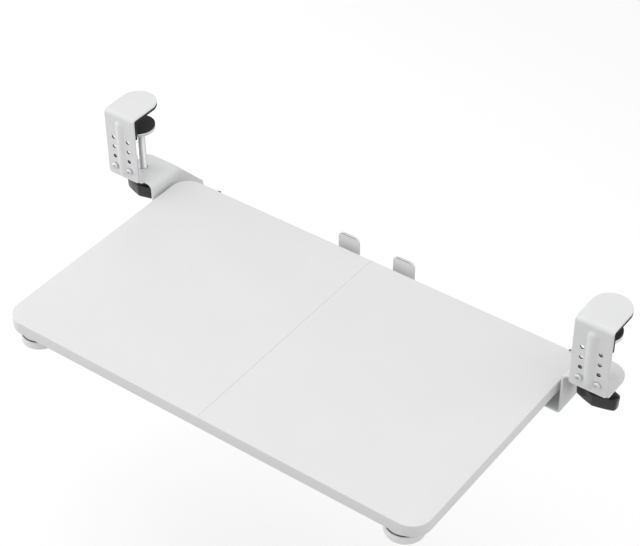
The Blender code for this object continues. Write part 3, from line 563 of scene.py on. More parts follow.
def boardFinish(look):
    # melamine faces with a pearl skin; the edge band is a shade lighter and smoother
    material, tree, shader = newMaterial("whiteMelamine")
    face = calc(tree, "GREATER_THAN", calc(tree, "ABSOLUTE", upwardness(tree)), look["faceLimit"])
    cloud, fleck, gloss, pearl = [grainOf(tree, look, part) for part in ("cloud", "fleck", "gloss", "pearl")]
    paint = blend(tree, face, opaque(look["bandColor"]), opaque(look["color"]))
    base = blend(tree, calc(tree, "MULTIPLY", cloud["Value"], fleck["Value"]), black, paint)
    skin = calc(tree, "MULTIPLY", pearl["Height"], face)
    normal = bumpFrom(tree, skin, look["pearlStrength"], look["pearlDepth"])
    cover(tree, shader, look, base, gloss, normal, IOR=look["ior"])
    return material


foamLook = dict(
    color=(0.013, 0.013, 0.0135), cellColor=(0.030, 0.030, 0.031), cellScale=1900.0, cellStrength=0.7,
    cellDepth=0.00018, poreScale=700.0, poreDetail=2.0, roughScale=700.0, roughDetail=2.0, roughLow=0.86,
    roughHigh=0.98, dust=0.10, dustColor=(0.075, 0.073, 0.070))


def foamFinish(look):
    # closed-cell foam: small round cells with a few open pores
    material, tree, shader = newMaterial("blackFoam")
    cells = addNode(tree, "TexVoronoi")
    feed(tree, cells, Scale=look["cellScale"], Vector=addNode(tree, "TexCoord").outputs["Object"])
    cell = cells.outputs["Distance"]
    base = blend(tree, cell, opaque(look["color"]), opaque(look["cellColor"]))
    height = calc(tree, "MULTIPLY", cell, grainOf(tree, look, "pore")["Value"])
    normal = bumpFrom(tree, height, look["cellStrength"], look["cellDepth"])
    cover(tree, shader, look, base, grainOf(tree, look, "rough"), normal)
    return material


beechLook = dict(
    dark=(0.40, 0.24, 0.12), light=(0.60, 0.40, 0.23), ringScale=700.0, ringDetail=4.0,
    ringStretch=(1.0, 1.0, 0.06), fleckScale=1500.0, fleckLow=0.85, fleckStretch=(1.0, 1.0, 0.15),
    roughScale=700.0, roughLow=0.58, roughHigh=0.74, grainStrength=0.3, grainDepth=0.0001)


def beechFinish(look):
    # wood with its grain along the dowel
    material, tree, shader = newMaterial("beech")
    lines, fleck, rough = [grainOf(tree, look, part) for part in ("ring", "fleck", "rough")]
    dark = opaque(look["dark"])
    base = blend(tree, fleck["Value"], dark, blend(tree, lines["Value"], dark, opaque(look["light"])))
    normal = bumpFrom(tree, lines["Height"], look["grainStrength"], look["grainDepth"])
    cover(tree, shader, look, base, rough, normal)
    return material


blackPlastic = coatedFinish("blackMouldedPlastic", blackPlasticLook)
paintedBoreShade = coatedFinish("paintedBoreShade", paintedBoreShadeLook)
paintedShadeRing = coatedFinish("paintedShadeRing", shadeRingLook)
satinZinc = metalFinish("satinZinc", zincLook)
finishes = {
    "white_board": boardFinish(boardLook), "white_steel": coatedFinish("whitePowderCoat", whiteSteelLook),
    "black_foam": foamFinish(foamLook), "black_plastic": blackPlastic, "beech": beechFinish(beechLook),
    "bright_steel": metalFinish("brightSteel", brightSteelLook),
    "aluminium": metalFinish("drawnAluminium", aluminiumLook),
    "white_nylon": coatedFinish("whiteNylon", whiteNylonLook)}
print("finishes ready:", len(finishes))


def fit(piece, body, slot, *nodes, finish=None):
    # put the finish on, and let the piece ride and stand for its nodes
    piece.data.materials.clear()
    piece.data.materials.append(finish or finishes[slot])
    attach(piece, body)
    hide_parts(*nodes)


def refinish(piece, finish, chosen):
    # another finish on the faces that a test of (center, normal) picks
    index = len(piece.data.materials)
    piece.data.materials.append(finish)
    for face in piece.data.polygons:
        if chosen(face.center, face.normal):
            face.material_index = index


# Places that several pieces share, on the right side
boardLow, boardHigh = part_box("tray_board_right")
plateLow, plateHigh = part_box("hook_plate_right")
jawLow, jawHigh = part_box("jaw_bracket_right")
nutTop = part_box("spindle_nut_right")[1].z
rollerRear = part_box("roller_rear_right")[1].y
clampX = (plateLow.x + plateHigh.x) / 2
plateHalf = (plateHigh.x - plateLow.x) / 2
hookRoundY = plateHigh.y - plateHalf
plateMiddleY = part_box("edge_pad_right")[0].y - faceGap - halfSheet
boltColumns = [("inner", middle("jaw_bolt_inner_right").x), ("outer", middle("jaw_bolt_outer_right").x)]
boltZ = middle("jaw_bolt_inner_right").z
spindleX, spindleY = middle("clamp_spindle_right").xy
boltHole = dict(rowPitch=0.0104, radius=0.0019, chamfer=0.0003, wallReach=0.0002, wallSlope=0.5)


def boltHoles(side, rows):
    return [(side * x, boltZ + row * boltHole["rowPitch"]) for row in range(rows) for _, x in boltColumns]


def boltBores(side, rows, front, rear):
    radius, chamfer = boltHole["radius"], boltHole["chamfer"]
    return [((x, front, z), (x, rear, z), radius, chamfer) for x, z in boltHoles(side, rows)]


def inBore(side, rows):
    # test for the walls of the bolt holes, which get a dark painted shade
    spots = boltHoles(side, rows)
    farthest = boltHole["radius"] + boltHole["wallReach"]

    def chosen(center, normal):
        near = any(math.hypot(center.x - x, center.z - z) < farthest for x, z in spots)
        return near and abs(normal.y) < boltHole["wallSlope"]

    return chosen


# Board halves: rounded corners and edges, a hairline seam between them
board = dict(corner=0.018, edge=0.0008, seam=0.00006, seamEdge=0.00012, cornerSteps=20, edgeSteps=5,
             dowelRadius=0.0033, dowelStart=0.001, dowelDepth=0.0123, pilotRadius=0.0019, pilotDepth=0.0083,
             chamfer=0.0001)


def boardRing(inset):
    seamX = board["seam"] / 2 + inset * board["seamEdge"] / board["edge"]
    front, rear, out = boardLow.y + inset, boardHigh.y - inset, boardHigh.x - inset
    radius = board["corner"] - inset
    ring = [(seamX, front)]
    ring += arcPoints((out - radius, front + radius), radius, -math.pi / 2, 0, board["cornerSteps"])
    ring += arcPoints((out - radius, rear - radius), radius, 0, math.pi / 2, board["cornerSteps"])
    return ring + [(seamX, rear)]


def boardHalf(label, name, side):
    form = bmesh.new()
    pairs = roundSteps(boardLow.z, boardHigh.z, board["edge"], board["edge"], board["edgeSteps"])
    loft(form, [[(x, y, z) for x, y in boardRing(inset)] for inset, z in pairs])
    piece = addPiece("board" + label, mirrorForm(form, side))
    holes = []
    for number in (1, 2, 3):
        _, y, z = middle(f"joint_dowel_{number}")
        holes.append(((-side * board["dowelStart"], y, z), (side * board["dowelDepth"], y, z),
                      board["dowelRadius"], board["chamfer"]))
    screws = [f"runner_screw_{name}_{number}" for number in (1, 2, 3)] + [f"puck_screw_{name}"]
    screws += [f"joining_screw_{number}" for number in range(1, 7)]
    for screw in screws:
        x, y, _ = middle(screw)
        if x * side > 0:
            holes.append(((x, y, boardLow.z), (x, y, boardLow.z + board["pilotDepth"]),
                          board["pilotRadius"], board["chamfer"]))
    drillHoles(piece, holes)
    fit(piece, "tray", "white_board", f"tray_board_{name}")


for label, name, side in sides:
    boardHalf(label, name, side)
print("board halves done")


# Hook plates: bent sheet with a half-round end, a pressed rib and two columns of holes
hook = dict(bendRadius=0.002, rim=0.00075, cornerRadius=0.0025, rows=4, ribHalf=0.0046, ribHeight=0.0020,
            ribTop=0.0075, ribFoot=0.003, ribCurve=1.2, ribColumns=14, ribReach=0.0050, flatColumns=8,
            rimColumn=0.0010, uprightRows=60, bendRows=10, flatRows=8, tipSteps=56)


def ribRise(x, z):
    # how far the pressed rib stands out of the plate
    top = plateHigh.z - hook["ribTop"] - hook["ribHalf"]
    foot = plateLow.z + hook["ribFoot"] + hook["ribHalf"]
    away = math.hypot(x - clampX, z - min(max(z, foot), top)) / hook["ribHalf"]
    return hook["ribHeight"] * (1 - away ** 2) ** hook["ribCurve"] if away < 1 else 0


def softFoot(x, z):
    # moves a point of the plate's grid so that the two lower corners come out round
    fromSide, fromFoot = plateHalf - abs(x), z - plateLow.z
    depth, along = min(fromSide, fromFoot), abs(fromSide - fromFoot)
    radius = hook["cornerRadius"] - depth
    if along >= radius:
        return x, z
    turn = math.pi / 4 * (1 - along / radius)
    farther = depth + radius * (1 - math.sin(turn))
    nearer = depth + radius * (1 - math.cos(turn))
    across, up = (farther, nearer) if fromFoot < fromSide else (nearer, farther)
    return math.copysign(plateHalf - across, x), plateLow.z + up


def hookColumns():
    half = [hook["ribReach"] * i / hook["ribColumns"] for i in range(1, hook["ribColumns"] + 1)]
    half += spread(hook["ribReach"], plateHalf - hook["rimColumn"], hook["flatColumns"])[1:]
    return half + [plateHalf]


def hookPlate(label, name, side):
    form = bmesh.new()
    level = plateHigh.z - halfSheet
    bend = hook["bendRadius"] + halfSheet
    flatStart = plateMiddleY + bend
    path = [(plateMiddleY, z) for z in spread(plateLow.z, level - bend, hook["uprightRows"])[:-1]]
    path += arcPoints((flatStart, level - bend), bend, math.pi, math.pi / 2, hook["bendRows"])
    path += [(y, level) for y in spread(flatStart, hookRoundY, hook["flatRows"])[1:]]
    half = hookColumns()
    columns = [-x for x in half[::-1]] + [0] + half
    rings = []
    for y, z in path:
        spots = [softFoot(x, z) for x in columns]
        rings.append([(clampX + x, y - ribRise(clampX + x, height), height) for x, height in spots])
    rows = sheetLoft(form, rings)
    # half-round end: half rings whose ends are the last row's own points
    center = len(half)
    inner = [rows[-1][center]]
    for i, radius in enumerate(half, 1):
        turn = arcPoints((clampX, hookRoundY), radius, 0, math.pi, hook["tipSteps"])[1:-1]
        ring = [form.verts.new((x, y, level)) for x, y in turn]
        ring = [rows[-1][center + i]] + ring + [rows[-1][center - i]]
        for k in range(hook["tipSteps"]):
            near = [inner[min(spot, len(inner) - 1)] for spot in (k, k + 1)]
            corners = [near[0], ring[k], ring[k + 1], near[1]]
            form.faces.new(list(dict.fromkeys(corners)))
        inner = ring
    piece = thicken(addPiece("hookPlate" + label, mirrorForm(form, side)), sheetThickness, hook["rim"])
    drillHoles(piece, boltBores(side, hook["rows"], plateMiddleY - halfSheet, plateMiddleY + halfSheet))
    fit(piece, "clamps", "white_steel", f"hook_plate_{name}")
    # dark painted shade on the walls of the bolt holes
    refinish(piece, paintedBoreShade, inBore(side, hook["rows"]))


for label, name, side in sides:
    hookPlate(label, name, side)
print("hook plates done")


# Jaw brackets: upright tab, clamping flange, side wall, guide floor and roller lip in one bent sheet
jaw = dict(sideBend=0.005, tabBend=0.003, guideBend=0.0015, sideClearance=0.0033, rearHeight=0.0065,
           lipDrop=0.0025, lipSetback=0.0055, lipRearHeight=0.0095, rim=0.0006, boltRows=2,
           lipShadeLength=0.0036, lipShadeTop=0.0140, spindleHole=0.0043, axleHole=0.0023, chamfer=0.0003,
           frontRows=14, flangeColumns=12, roundColumns=12, rimColumn=0.0010, cornerSteps=20, tabRows=16,
           bendRows=10, sideBendSteps=14, guideBendSteps=7, wallRows=22, floorRows=6, lipRows=8)


def jawPath():
    # middle line across the guide, from the clamping flange to the top of the lip
    level = nutTop + faceGap + halfSheet
    wall = boardHigh.x + jaw["sideClearance"] + halfSheet
    floor = jawLow.z + halfSheet
    lip = jawLow.x + halfSheet
    lipTop = boardLow.z - jaw["lipDrop"]
    wide = jaw["sideBend"] + halfSheet
    tight = jaw["guideBend"] + halfSheet
    foot, turnSteps = floor + tight, jaw["guideBendSteps"]
    line = [(plateLow.x, level)]
    line += arcPoints((wall + wide, level - wide), wide, math.pi / 2, math.pi, jaw["sideBendSteps"])
    line += [(wall, z) for z in spread(level - wide, foot, jaw["wallRows"])[1:-1]]
    line += arcPoints((wall - tight, foot), tight, 0, -math.pi / 2, turnSteps)
    line += [(x, floor) for x in spread(wall - tight, lip + tight, jaw["floorRows"])[1:-1]]
    line += arcPoints((lip + tight, foot), tight, -math.pi / 2, -math.pi, turnSteps)
    return line + [(lip, z) for z in spread(foot, lipTop, jaw["lipRows"])[1:]], level, lipTop


def jawRear(x, z, level, lipTop):
    # where the bracket ends at the rear, by place along its middle line
    slopeEnd = jawLow.z + jaw["rearHeight"]
    wallRear = mix(plateHigh.y, jawHigh.y, min(1, (level - z) / (level - slopeEnd)))
    inner = jawLow.x + sheetThickness + jaw["guideBend"]
    if x > inner:
        return wallRear
    low = jawLow.z + jaw["lipRearHeight"]
    lipEnd = jawHigh.y - jaw["lipSetback"]
    if z > low:
        return mix(lipEnd, rollerRear, (z - low) / (lipTop - low))
    share = (inner - x) / (inner - jawLow.x - halfSheet)
    return mix(jawHigh.y, lipEnd, min(1, max(0, share)) ** 2)


def jawBracket(label, name, side):
    form = bmesh.new()
    line, level, lipTop = jawPath()
    tabMiddle = jawLow.y + halfSheet
    bend = jaw["tabBend"] + halfSheet
    start = tabMiddle + bend
    # places from front to rear: even up to where the outer corner turns, then by its radius
    radii = spread(0, plateHalf - jaw["rimColumn"], jaw["roundColumns"]) + [plateHalf]
    even = spread(start, hookRoundY, jaw["frontRows"])[:-1]
    shares = [(y - start) / (plateHigh.y - start) for y in even + [hookRoundY + r for r in radii]]
    # guide: side bend, wall, floor and lip
    sheetLoft(form, [[(x, mix(start, jawRear(x, z, level, lipTop), s), z) for s in shares] for x, z in line])
    # tab, its bend and the flange's inner half
    rise = [(tabMiddle, z) for z in spread(jawHigh.z, level + bend, jaw["tabRows"])[:-1]]
    rise += arcPoints((start, level + bend), bend, math.pi, 3 * math.pi / 2, jaw["bendRows"])[:-1]
    rise += [(y, level) for y in even + [hookRoundY]]
    flat = spread(plateLow.x, clampX, jaw["flangeColumns"])[:-1]
    sheetLoft(form, [[(x, y, z) for y, z in rise] for x in flat + [clampX]])
    # strips that run from the guide round the flange's outer corner and up the tab
    strips = []
    for r in radii:
        strip = [(x, hookRoundY + r, level) for x in flat]
        turn = arcPoints((clampX, hookRoundY), r, math.pi / 2, 0, jaw["cornerSteps"])
        strip += [(x, y, level) for x, y in turn]
        strips.append(strip + [(clampX + r, y, z) for y, z in rise[-2::-1]])
    sheetLoft(form, strips)
    bmesh.ops.remove_doubles(form, verts=form.verts, dist=mergeDistance)
    piece = thicken(addPiece("jawBracket" + label, mirrorForm(form, side)), sheetThickness, jaw["rim"])
    holes = boltBores(side, jaw["boltRows"], jawLow.y, jawLow.y + sheetThickness)
    x = side * spindleX
    holes.append(((x, spindleY, level - halfSheet), (x, spindleY, level + halfSheet), jaw["spindleHole"],
                  jaw["chamfer"]))
    for place in ("front", "rear"):
        y, z = middle(f"roller_{place}_right").yz
        holes.append(((side * jawLow.x, y, z), (side * (jawLow.x + sheetThickness), y, z), jaw["axleHole"],
                      jaw["chamfer"]))
    drillHoles(piece, holes)
    fit(piece, "clamps", "white_steel", f"jaw_bracket_{name}")
    # dark painted shade on the walls of the bolt holes
    refinish(piece, paintedBoreShade, inBore(side, jaw["boltRows"]))

    def lipTipShade(center, normal):
        # the lip's rear tip is painted black as the shade at the guide's rear end
        x, height = side * center.x, center.z - jawLow.z
        lipShadeFoot = jaw["guideBend"] + sheetThickness
        onLip = x < jawLow.x + sheetThickness and lipShadeFoot < height < jaw["lipShadeTop"]
        return onLip and center.y > jawRear(x, center.z, level, lipTop) - jaw["lipShadeLength"]

    # black painted shade on the lip's rear tip
    refinish(piece, blackPlastic, lipTipShade)


for label, name, side in sides:
    jawBracket(label, name, side)
print("jaw brackets done")


# Foam pads under the hooks, on the plates' backs and on the pressure discs
pad = dict(bulge=0.00055, bulgeSteps=6, corner=0.0008, tipSteps=40, discSteps=72, smooth=50)


def foamPad(name, body, node, outline, low, high, lift):
    form = bmesh.new()
    slab(form, outline, low, high, pad["bulge"], lift, pad["bulgeSteps"])
    piece = settle(addPiece(name, form), pad["smooth"])
    fit(piece, body, "black_foam", node)


for label, name, side in sides:
    low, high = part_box(f"hook_pad_{name}")
    tip = arcPoints((clampX, hookRoundY), plateHalf, 0, math.pi, pad["tipSteps"])
    outline = [(side * x, y) for x, y in [(plateHigh.x, low.y), *tip, (plateLow.x, low.y)]]
    foamPad("hookPad" + label, "clamps", f"hook_pad_{name}", outline, low.z, high.z, liftZ)
    low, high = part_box(f"edge_pad_{name}")
    outline = softBox(low, high, pad["corner"])
    foamPad("edgePad" + label, "clamps", f"edge_pad_{name}", outline, low.y, high.y, liftY)
    low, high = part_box(f"disc_pad_{name}")
    outline = ringPoints(middle(f"disc_pad_{name}").xy, (high.x - low.x) / 2, pad["discSteps"])
    foamPad("discPad" + label, f"pressure_pad_{name}", f"disc_pad_{name}", outline, low.z, high.z, liftZ)
print("foam pads done")


# Screws and bolts: domed head with a cross recess, threaded shank
woodScrew = dict(headRadius=0.0028, headHeight=0.0018, shankRadius=0.0016, threadDepth=0.00035, pitch=0.0013,
                 collar=0.0008, threadGap=0.0001, point=0.0016, tip=0.12, recessFloor=0.30, count=24)
jawBolt = dict(headRadius=0.0032, headHeight=0.0023, shankRadius=0.0017, threadDepth=0.00028, pitch=0.0007,
               collar=0.0006, threadGap=0.0001, point=0.0003, tip=0.86, recessFloor=0.48, count=28)
screwHead = dict(domeSteps=8, domeFoot=0.35, rim=0.12)          # the last two are shares of the head's height
recess = dict(reach=0.58, width=0.13, lowReach=0.35, highReach=1.15, lowWidth=0.8, highWidth=1.1, top=1.2)


def screwForm(look):
    count, head, height = look["count"], look["headRadius"], look["headHeight"]
    shank, collar = look["shankRadius"], -look["collar"]
    foot, rim = screwHead["domeFoot"], height * screwHead["rim"]
    rings = []
    for a in quarterTurn(screwHead["domeSteps"])[1:]:
        rings.append(circle(head * math.sin(a), height * (foot + (1 - foot) * math.cos(a)), count))
    for radius, z in ((head, rim), (head - rim, 0), (shank, 0), (shank, collar)):
        rings.append(circle(radius, z, count))
    rings += threadRings(shank, look["threadDepth"], look["pitch"], collar - look["threadGap"],
                         -look["length"] + look["point"], count)
    rings.append(circle((shank - look["threadDepth"]) * look["tip"], -look["length"], count))
    form = bmesh.new()
    loft(form, rings)
    return form


def recessArm(look, turn):
    # one arm of the cross recess, narrowing downwards
    form = bmesh.new()
    bmesh.ops.create_cube(form, size=1.0)
    reach, width = look["headRadius"] * recess["reach"], look["headRadius"] * recess["width"]
    for vert in form.verts:
        low = vert.co.z < 0
        vert.co.x *= 2 * reach * recess["lowReach" if low else "highReach"]
        vert.co.y *= 2 * width * recess["lowWidth" if low else "highWidth"]
        vert.co.z = look["headHeight"] * (look["recessFloor"] if low else recess["top"])
    form.transform(Matrix.Rotation(turn, 4, "Z"))
    return form


def screwFor(name, look, node, lengthAxis):
    # mesh of a screw as long as its node
    low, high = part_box(node)
    look = dict(look, length=(high - low)[lengthAxis] - look["headHeight"])
    piece = addPiece(name, screwForm(look))
    for turn in (0, math.pi / 2):
        combine(piece, recessArm(look, turn))
    mesh = piece.data
    bpy.data.objects.remove(piece, do_unlink=True)
    return mesh


def placeScrew(name, mesh, body, node, seat, tilt, twist, finish=None):
    piece = bpy.data.objects.new(name, mesh)
    scene.collection.objects.link(piece)
    turn = Matrix.Rotation(tilt, 4, "X") @ Matrix.Rotation(twist, 4, "Z")
    piece.matrix_world = Matrix.Translation(seat) @ turn
    fit(piece, body, "bright_steel", node, finish=finish)


screwTwists = [0.3, 1.1, 0.7, 0.05, 1.4, 0.9, 0.5, 1.25, 0.2, 0.8, 1.0, 0.4, 0.6, 1.3]
boltTwists = dict(inner=0.35, outer=1.05, perSide=0.2)
joiningScrew = screwFor("joiningScrewMesh", woodScrew, "joining_screw_1", 2)
runnerScrew = screwFor("runnerScrewMesh", woodScrew, "runner_screw_right_1", 2)
puckScrew = screwFor("puckScrewMesh", woodScrew, "puck_screw_right", 2)
boltMesh = screwFor("jawBoltMesh", jawBolt, "jaw_bolt_inner_right", 1)
upScrews = [(f"joiningScrew{n}", joiningScrew, f"joining_screw_{n}") for n in range(1, 7)]
for label, name, side in sides:
    upScrews += [(f"runnerScrew{label}{n}", runnerScrew, f"runner_screw_{name}_{n}") for n in (1, 2, 3)]
    upScrews.append(("puckScrew" + label, puckScrew, f"puck_screw_{name}"))
for (name, mesh, node), twist in zip(upScrews, screwTwists):
    seat = (*middle(node).xy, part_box(node)[0].z + woodScrew["headHeight"])
    placeScrew(name, mesh, "tray", node, seat, math.pi, twist)
for label, name, side in sides:
    for column, x in boltColumns:
        node = f"jaw_bolt_{column}_{name}"
        seat = (side * x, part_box(node)[0].y + jawBolt["headHeight"], boltZ)
        twist = boltTwists[column] + side * boltTwists["perSide"]
        title = f"jawBolt{column.capitalize()}{label}"
        placeScrew(title, boltMesh, "clamps", node, seat, math.pi / 2, twist, satinZinc)
print("screws and bolts done")


# Clamp screws: threaded spindle, weld nut, two-winged knob and pressure disc
spindle = dict(pitch=0.00125, threadDepth=0.00055, count=40, chamfer=0.0006, neckRadius=0.0025,
               neckLength=0.0040, neckChamfer=0.0004, smooth=50)
nut = dict(acrossFlats=0.013, faceInset=0.0002, chamfer=0.0011, chamferDrop=0.62, boreRadius=0.00415,
           boreChamfer=0.0005, steps=48)
knob = dict(length=0.0379, footLength=0.0366, width=0.0191, tipWidth=0.0072, tipRadius=0.0033,
            ridgeRadius=0.0016, leastRadius=0.0004, bulge=0.0005, bulgeRadius=0.060, cornerSteps=8,
            lowerRound=0.0026, upperRound=0.0012, roundSteps=6, panelSize=0.86, panelDepth=0.0005,
            panelRings=((0, 1), (0.02, 0.7), (0.03, 0)),          # growth, share of the depth
            hubRadius=0.0074, hubHeight=0.0080, hubFoot=((0.0003, 0), (0, 0.0004)),          # out, up
            hubRim=((0.0001, 0.0006), (0.0003, 0.0002), (0.0008, 0)),          # in, down
            boreRadius=0.0042, boreMouth=0.0003, boreFloor=0.0020, smooth=24,
            turns={"left": math.radians(-1), "right": math.radians(-2)})
disc = dict(thickness=0.003, hubRadius=0.0065, pitRadius=0.0028, rim=0.0006, fillet=0.0008, pitSoft=0.0003,
            softSteps=5, steps=64)


def clampSpindle(label, name):
    node = f"clamp_spindle_{name}"
    low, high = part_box(node)
    radius, count, cut = (high.x - low.x) / 2, spindle["count"], spindle["chamfer"]
    top, shoulder = high.z, high.z - spindle["neckLength"]
    neck, neckCut = spindle["neckRadius"], spindle["neckChamfer"]
    rings = [circle(radius - cut, low.z, count)]
    rings += threadRings(radius, spindle["threadDepth"], spindle["pitch"], low.z + cut, shoulder - cut, count)
    for size, z in ((radius - cut, shoulder), (neck, shoulder), (neck, top - neckCut), (neck - neckCut, top)):
        rings.append(circle(size, z, count))
    piece = loftPiece("clampSpindle" + label, upright(node), rings, spindle["smooth"])
    fit(piece, f"clamp_screw_{name}", "bright_steel", node)


def spindleNut(label, name):
    node = f"spindle_nut_{name}"
    low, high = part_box(node)
    outline = ringPoints((0, 0), nut["acrossFlats"] / math.sqrt(3), 6)
    form = bmesh.new()
    loft(form, [[(x, y, z) for x, y in outline] for z in (low.z, high.z)])
    piece = addPiece("spindleNut" + label, form)
    flat = nut["acrossFlats"] / 2 - nut["faceInset"]
    wide, drop = flat + nut["chamfer"], nut["chamfer"] * nut["chamferDrop"]
    cone = bmesh.new()
    turned(cone, [(0, high.z), (flat, high.z), (wide, high.z - drop), (wide, low.z + drop), (flat, low.z),
                  (0, low.z)], nut["steps"])
    combine(piece, cone, "INTERSECT")
    drillHoles(piece, [((0, 0, low.z), (0, 0, high.z), nut["boreRadius"], nut["boreChamfer"])])
    piece.data.transform(upright(node))
    fit(piece, "clamps", "bright_steel", node)


def knobPlan(scale, inset):
    tip, blunt, ridge = knob["length"] / 2 * scale, knob["tipWidth"] / 2 * scale, knob["width"] / 2 * scale
    flank = (tip / 2, (blunt + ridge) / 2 + knob["bulge"])
    tipRadius, bulgeRadius, ridgeRadius = knob["tipRadius"], knob["bulgeRadius"], knob["ridgeRadius"]
    corners = []
    for turn in (1, -1):
        corners += [(turn * tip, -turn * blunt, tipRadius), (turn * tip, turn * blunt, tipRadius),
                    (turn * flank[0], turn * flank[1], bulgeRadius), (0, turn * ridge, ridgeRadius),
                    (-turn * flank[0], turn * flank[1], bulgeRadius)]
    moved = shrink([corner[:2] for corner in corners], inset)
    radii = [max(corner[2] - inset, knob["leastRadius"]) for corner in corners]
    return softCorners([(x, y, radius) for (x, y), radius in zip(moved, radii)], knob["cornerSteps"])


def clampKnob(label, name):
    node = f"clamp_knob_{name}"
    low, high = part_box(node)
    foot, top = low.z, high.z
    shoulder = top - knob["hubHeight"]
    footScale = knob["footLength"] / knob["length"]

    def ring(inset, z, size=1):
        scale = mix(footScale, 1, (z - foot) / (shoulder - foot))
        return [(x, y, z) for x, y in knobPlan(scale * size, inset)]

    # sunk panel underneath, then up the drafted side to the upper rim
    rings = [ring(knob["lowerRound"], foot + knob["panelDepth"] * depth, knob["panelSize"] + growth)
             for growth, depth in knob["panelRings"]]
    rings += [ring(inset, z) for inset, z in roundSteps(
        foot, shoulder, knob["lowerRound"], knob["upperRound"], knob["roundSteps"])]
    # hub: each point of the plan moves in to the circle at its own angle
    angles = [math.atan2(y, x) for x, y in knobPlan(1, knob["upperRound"])]
    hub, hole, mouth = knob["hubRadius"], knob["boreRadius"], knob["boreMouth"]
    steps = [(hub + out, shoulder + up) for out, up in knob["hubFoot"]]
    steps += [(hub - inward, top - down) for inward, down in knob["hubRim"]]
    steps += [(hole + mouth, top), (hole, top - mouth), (hole, foot + knob["boreFloor"])]
    rings += [[(radius * math.cos(a), radius * math.sin(a), z) for a in angles] for radius, z in steps]
    place = upright(node) @ Matrix.Rotation(knob["turns"][name], 4, "Z")
    piece = loftPiece("clampKnob" + label, place, rings, knob["smooth"])
    fit(piece, f"clamp_screw_{name}", "black_plastic", node)


def pressureDisc(label, name):
    node = f"pressure_disc_{name}"
    low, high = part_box(node)
    radius, under, rim = (high.x - low.x) / 2, high.z - disc["thickness"], disc["rim"]
    hub, pit, soft = disc["hubRadius"], disc["pitRadius"], disc["pitSoft"]
    profile = [(0, high.z, 0), (radius, high.z, rim), (radius, under, rim), (hub, under, disc["fillet"]),
               (hub, low.z, rim), (pit, low.z, soft), (pit, under, soft), (0, under, 0)]
    profile = softCorners(profile, disc["softSteps"], closed=False)
    piece = turnedPiece("pressureDisc" + label, upright(node), profile, disc["steps"])
    fit(piece, f"pressure_pad_{name}", "bright_steel", node)


for label, name, side in sides:
    clampSpindle(label, name)
    spindleNut(label, name)
    clampKnob(label, name)
    pressureDisc(label, name)
print("clamp screws done")


# Runners, stops, rollers and their riveted axles
rail = dict(flange=0.0074, wall=0.0015, flangeWall=0.0018, soft=0.0004, softSteps=4, rim=0.0002, rimSteps=2,
            screwHole=0.0019, chamfer=0.0002)
wheel = dict(bore=0.0023, round=0.0007, webLow=0.0033, webHigh=0.0050, webDepth=0.0006, soft=0.0002,
             softSteps=4, steps=56)
rivet = dict(headHeight=0.0014, radius=0.0020, domeFoot=0.3, domeSteps=6, rim=0.0001, steps=32)
stopBlock = dict(rim=0.0005)


def runner(label, name, side):
    low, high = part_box("runner_right")
    web = high.x - rail["flange"]
    inner, wall, under = web - rail["wall"], rail["wall"], high.z - rail["flangeWall"]
    section = [(high.x, high.z), (high.x, under), (web, under), (web, low.z), (low.x, low.z),
               (low.x, low.z + wall), (inner, low.z + wall), (inner, high.z - wall), (low.x, high.z - wall),
               (low.x, high.z)]
    section = softCorners([(x, z, rail["soft"]) for x, z in section], rail["softSteps"])
    form = bmesh.new()
    slab(form, section, low.y, high.y, rail["rim"], liftY, rail["rimSteps"])
    piece = settle(addPiece("runner" + label, mirrorForm(form, side)))
    spots = [middle(f"runner_screw_{name}_{number}").xy for number in (1, 2, 3)]
    drillHoles(piece, [((x, y, under), (x, y, high.z), rail["screwHole"], rail["chamfer"]) for x, y in spots])
    fit(piece, "tray", "aluminium", f"runner_{name}")


def runnerStop(label, name):
    node = f"runner_stop_{name}"
    low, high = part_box(node)
    form = bmesh.new()
    slab(form, softBox(low, high, stopBlock["rim"]), low.y, high.y, stopBlock["rim"], liftY)
    piece = settle(addPiece("runnerStop" + label, form))
    fit(piece, "tray", "white_nylon", node)


def roller(label, name, place):
    node = f"roller_{place}_{name}"
    low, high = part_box(node)
    half, radius, soft = (high.x - low.x) / 2, (high.z - low.z) / 2, wheel["soft"]
    bore, near, far, deep = wheel["bore"], wheel["webLow"], wheel["webHigh"], half - wheel["webDepth"]
    upper = [(bore, half, soft), (near, half, soft), (near, deep, soft), (far, deep, soft), (far, half, soft),
             (radius, half, wheel["round"])]
    profile = softCorners(upper + [(r, -z, size) for r, z, size in upper[::-1]], wheel["softSteps"])
    title = f"roller{place.capitalize()}{label}"
    piece = turnedPiece(title, onAxle(node), profile, wheel["steps"], closed=True)
    fit(piece, f"{place}_roller_{name}", "white_nylon", node)


def rollerAxle(label, name, place):
    # riveted pin: domed heads outside the roller and inside the lip
    node = f"roller_axle_{place}_{name}"
    low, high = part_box(node)
    half, head = (high.x - low.x) / 2, (high.z - low.z) / 2
    inner, foot, rim = half - rivet["headHeight"], rivet["domeFoot"], rivet["rim"]
    profile = [(0, half)]
    for a in quarterTurn(rivet["domeSteps"])[1:]:
        profile.append((head * math.sin(a), inner + rivet["headHeight"] * (foot + (1 - foot) * math.cos(a))))
    profile += [(head, inner + rim), (head - rim, inner), (rivet["radius"], inner)]
    profile += [(r, -z) for r, z in profile[::-1]]
    piece = turnedPiece(f"rollerAxle{place.capitalize()}{label}", onAxle(node), profile, rivet["steps"])
    fit(piece, "clamps", "bright_steel", node)


for label, name, side in sides:
    runner(label, name, side)
    runnerStop(label, name)
    for place in ("front", "rear"):
        roller(label, name, place)
        rollerAxle(label, name, place)
print("runners and rollers done")


